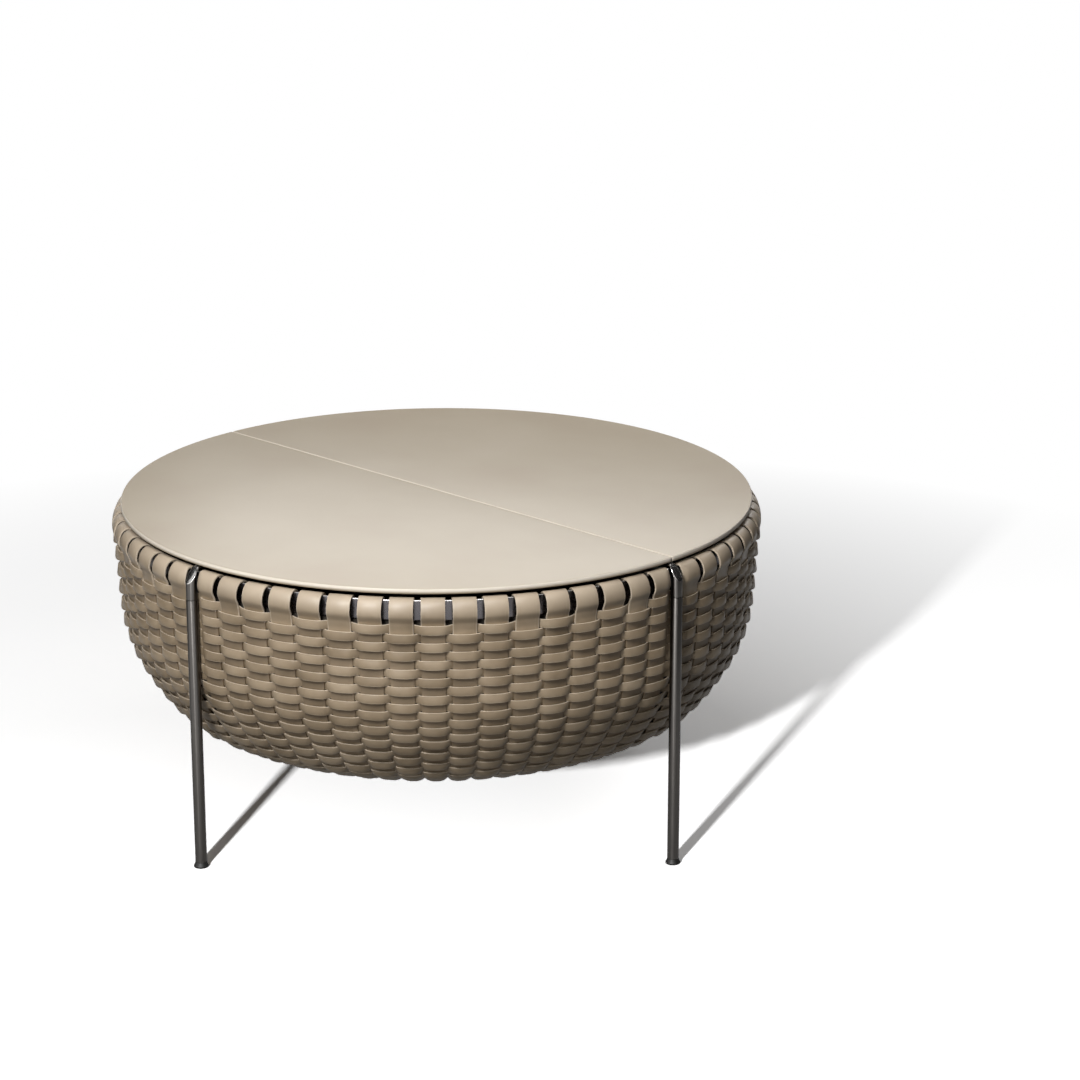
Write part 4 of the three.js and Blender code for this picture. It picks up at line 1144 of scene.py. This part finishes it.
UP = Vector((0, 0, 1))
drives = {f"{kind}_screw_{i}": (UP, "frame") for kind in ("leaf", "base") for i in (1, 2, 3)}
drives.update({f"hinge_screw_{i}": (UP, "frame" if i <= 4 else "lid") for i in range(1, 9)})
for label, angle in enumerate(LEG_ANGLES, 1):
    outward = Vector((round(math.cos(angle)), round(math.sin(angle)), 0))
    drives[f"leg_bolt_{label}"] = (outward, "frame")
drives["beam_bolt_1"] = (Vector((1, 0, 0)), "frame")
drives["beam_bolt_2"] = (Vector((-1, 0, 0)), "frame")
for node, (direction, body) in drives.items():
    finish_piece(screw(node, direction), f"hex_{node}", [node], body)
print("screws:", len(drives))

# %% [markdown]
# ## Liner and base
# A felt-covered liner keeps the weave in shape and gives the bowl a smooth inside. It follows the
# same outline as the weave, a little further in, and is closed by a flat floor. Below, a nylon
# plate with a rounded edge clamps the ends of the straps.

# %% Press the liner
LINER_WALL = 3 * MM
LINER_OFFSET = 14 * MM
LINER_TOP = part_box("inner_bowl")[1].z
LINER_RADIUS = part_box("inner_bowl")[1].x - LINER_WALL / 2
LINER_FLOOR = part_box("inner_bowl")[0].z + LINER_WALL / 2
LINER_STEPS = 40
LINER_SIDES = 192
LINER_EASE = 0.9 * MM
FLOOR_START = 8 * MM


def liner_shape(u, v):
    distance = u * (BOWL_LENGTH - FLOOR_START)
    radius, height = wall_point(distance, -LINER_OFFSET)
    radius = np.minimum(radius, LINER_RADIUS)
    lift = np.interp(distance, [0, 2 * ROW_PITCH], [LINER_TOP - height.max(), 0])
    last = u > 1 - 0.5 / LINER_STEPS
    radius = np.where(last, 0, radius)
    height = np.where(last, LINER_FLOOR, np.maximum(height + lift, LINER_FLOOR))
    angle = v * math.tau
    return np.stack([np.cos(angle) * radius, np.sin(angle) * radius, height], axis=1)


liner = bent_grid(LINER_STEPS, LINER_SIDES, liner_shape)
merge_seam(liner)
start_edit(liner, "SELECT")
bpy.ops.mesh.normals_make_consistent(inside=False)
end_edit()
thicken(liner, LINER_WALL, rim=0)
ease_edges(liner, LINER_EASE, segments=3, angle=60)
shade(liner)
coat(liner, felt)
finish_piece(liner, "felt_liner", ["inner_bowl"])
print("liner faces:", len(liner.data.polygons))

# %% Base plate
PLATE_LOW, PLATE_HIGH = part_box("base_plate")
PLATE_EASE = 1.2 * MM
RECESS_INSET = 14 * MM
RECESS_DEPTH = 1 * MM
RECESS_SLOPE = 2 * MM

plate = cylinder(RIM_STEPS // 2, PLATE_HIGH.x, PLATE_LOW.z, PLATE_HIGH.z)
start_edit(plate)
pick_faces(plate, lambda face: face.normal.z < -FACING)
bpy.ops.mesh.inset(thickness=RECESS_INSET)
bpy.ops.mesh.inset(thickness=RECESS_SLOPE)
bpy.ops.transform.translate(value=(0, 0, RECESS_DEPTH))
end_edit()
ease_edges(plate, PLATE_EASE, segments=3, angle=40)
shade(plate)
coat(plate, black_nylon)
finish_piece(plate, "nylon_base_plate", ["base_plate"])
print("plate faces:", len(plate.data.polygons))

# %% [markdown]
# ## Boards and core
# The boards inside the leaves and the core of the base are cut from plywood. The boards show only
# when the lid is open, and the core never does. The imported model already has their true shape, so
# they stay as they are and get their finish.

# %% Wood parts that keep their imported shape
WOOD_NODES = ["fixed_leaf_board", "lid_board", "base_core"]
for node in WOOD_NODES:
    coat(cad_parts[node], plywood)
print("wood:", WOOD_NODES)

# %% [markdown]
# ## Lamps
# A plain studio. The table and the floor are lit by lamps of their own, which Blender's light
# linking allows: the photograph's floor shows the long shadows of one small, low lamp far away at
# the front left, while the straps show that the table's light falls from higher up. So the main
# box stands high at the front left, a narrow box hangs over the front edge and puts a gleam on
# the loops, a weak one fills the left side, one close behind gives the sheen on the top, one
# without gleam fills the back, and a small far one draws the bright stripe on each leg. The floor
# has the low lamp and a soft one that opens its shadows. Directions are in degrees from the
# camera's, counted to the right.

# %% Lamps
table_only = bpy.data.collections.new("lit_table")
floor_only = bpy.data.collections.new("lit_floor")


def area_lamp(name, place, aim, width, depth, watts, lights, gleams=True):
    lamp = bpy.data.objects.new(name, bpy.data.lights.new(name, "AREA"))
    lamp.data.shape = "RECTANGLE"
    lamp.data.size = width
    lamp.data.size_y = depth
    lamp.data.energy = watts
    lamp.location = place
    lamp.rotation_euler = (Vector(aim) - Vector(place)).to_track_quat("-Z", "Y").to_euler()
    lamp.visible_camera = False
    lamp.visible_glossy = gleams
    bpy.context.scene.collection.objects.link(lamp)
    lamp.light_linking.receiver_collection = lights


def round_table(degrees, distance, height):
    angle = CAMERA_AZIMUTH + math.radians(degrees)
    return (math.cos(angle) * distance, math.sin(angle) * distance, height)


MIDDLE = (0, 0, 0.3)
FRONT_EDGE = round_table(-8, 0.48, TOP_HEIGHT)
TOP_MIDDLE = (0, 0, TOP_HEIGHT)
SHADE_SPOT = round_table(110, 1.0, 0)

# Name, place, aim, width and depth in metres, watts, what it lights, and whether it gleams
LAMPS = [
    ("main_box", round_table(-23, 3.0, 2.6), MIDDLE, 0.9, 0.9, 86, table_only, True),
    ("overhead", round_table(-8, 1.1, 1.8), FRONT_EDGE, 1.3, 0.35, 14, table_only, True),
    ("left_box", round_table(-62, 2.6, 1.3), MIDDLE, 1.4, 1.0, 3, table_only, True),
    ("sheen", round_table(162, 1.35, 1.4), TOP_MIDDLE, 2.4, 0.6, 18, table_only, True),
    ("back_fill", round_table(176, 3.0, 1.0), MIDDLE, 1.6, 1.0, 22, table_only, False),
    ("leg_lamp", round_table(-19, 5.5, 1.75), MIDDLE, 0.3, 0.3, 45, table_only, True),
    ("low_lamp", round_table(-19, 5.5, 1.85), MIDDLE, 0.2, 0.2, 300, floor_only, True),
    ("floor_fill", round_table(110, 1.8, 1.6), SHADE_SPOT, 1.2, 1.2, 4.6, floor_only, True),
]
for row in LAMPS:
    area_lamp(*row)
print("lamps:", len(LAMPS))

# %% [markdown]
# ## Flags
# Polished metal shows what stands round it, and in an all white room the legs would look flat. So
# black flags stand at both sides and low behind, and give the round legs their dark stripes. Each
# flag is what is left of a wide cylinder round the table once its open side is deleted, and it
# shows only in gloss, so that it takes no light from the leather.

# %% Flags
FLAG_REACH = 1.7
FLAG_STEPS = 96


def flag(name, start, end, low, high):
    curtain = cylinder(FLAG_STEPS, FLAG_REACH, low, high, ends="NOTHING")
    start_edit(curtain)

    def open_side(face):
        middle = face.calc_center_median()
        turn = math.degrees(math.atan2(middle.y, middle.x) - CAMERA_AZIMUTH) % 360
        return not start % 360 <= turn <= end % 360

    pick_faces(curtain, open_side)
    bpy.ops.mesh.delete(type="FACE")
    end_edit()
    curtain.name = name
    coat(curtain, new_finish(f"{name}_cloth", Roughness=1.0, Base_Color=colour("#0A0A0A"))[0])
    curtain.visible_camera = False
    curtain.visible_diffuse = False
    curtain.visible_transmission = False
    curtain.visible_shadow = False


# Name, first and last direction in degrees, lower and upper edge in metres
FLAGS = [
    ("right_flag", 22, 140, 0.0, 2.2),
    ("left_flag", -140, -78, 0.0, 2.2),
    ("back_flag", 150, 210, 0.55, 1.0),
]
for row in FLAGS:
    flag(*row)
print("flags:", len(FLAGS))

# %% [markdown]
# ## World and floor
# The floor is a pale plane that takes the shadows and fades to plain white further out, as a
# paper sweep does. What the camera sees of the world, and what polished metal reflects, is white,
# and the light that the world throws is much weaker. Light Path tells the kinds of ray apart, and
# the world and the floor need the same two tests, so one function makes them.

# %% World
WORLD_LIGHT = 0.05


def ray_tests(material):
    rays = add_node(material, "ShaderNodeLightPath").outputs
    glossy = add_node(material, "ShaderNodeMath", {
        0: rays["Is Glossy Ray"], 1: rays["Is Transmission Ray"]}, operation="MAXIMUM")
    seen = add_node(material, "ShaderNodeMath", {
        0: rays["Is Camera Ray"], 1: glossy.outputs[0]}, operation="MAXIMUM")
    return rays["Is Camera Ray"], seen.outputs[0]


world = bpy.data.worlds.new("studio")
bpy.context.scene.world = world
world.use_nodes = True
background = world.node_tree.nodes["Background"]
background.inputs["Color"].default_value = (1, 1, 1, 1)
strength = add_node(world, "ShaderNodeMapRange", {
    "Value": ray_tests(world)[1], "To Min": WORLD_LIGHT})
wire(strength.outputs[0], background.inputs["Strength"])
print("light of the world:", WORLD_LIGHT)

# %% Floor
FLOOR_SIZE = 30
FADE_START = 0.55
FADE_END = 1.925
FLOOR_WHITE = 3.0
FLOOR_IN_GLOSS = 0.9

bpy.ops.object.select_all(action="DESELECT")
bpy.ops.mesh.primitive_plane_add(size=FLOOR_SIZE, location=(0, 0, 0))
floor = bpy.context.object
floor.name = "studio_floor"
paint, shader = new_finish("studio_paint", Roughness=0.9, Base_Color=colour("#444444"))
place = add_node(paint, "ShaderNodeTexCoord").outputs
away = add_node(paint, "ShaderNodeVectorMath", {0: place["Object"]}, operation="LENGTH")
fade = add_node(paint, "ShaderNodeMapRange", {
    "Value": away.outputs["Value"], "From Min": FADE_START, "From Max": FADE_END})
by_camera, seen = ray_tests(paint)
white = add_node(paint, "ShaderNodeMapRange", {
    "Value": by_camera, "To Min": FLOOR_IN_GLOSS, "To Max": FLOOR_WHITE})
near = add_node(paint, "ShaderNodeBsdfDiffuse", {"Color": white.outputs[0]})
far = add_node(paint, "ShaderNodeEmission", {"Strength": 1.0})
shown = add_node(paint, "ShaderNodeMixShader", {
    0: fade.outputs[0], 1: near.outputs[0], 2: far.outputs[0]})
mixed = add_node(paint, "ShaderNodeMixShader", {
    0: seen, 1: shader.outputs[0], 2: shown.outputs[0]})
wire(mixed.outputs[0], paint.node_tree.nodes["Material Output"].inputs["Surface"])
coat(floor, paint)
floor_only.objects.link(floor)
table_only.objects.link(floor)
table_only.collection_objects[0].light_linking.link_state = "EXCLUDE"
print("floor", FLOOR_SIZE, "m wide")
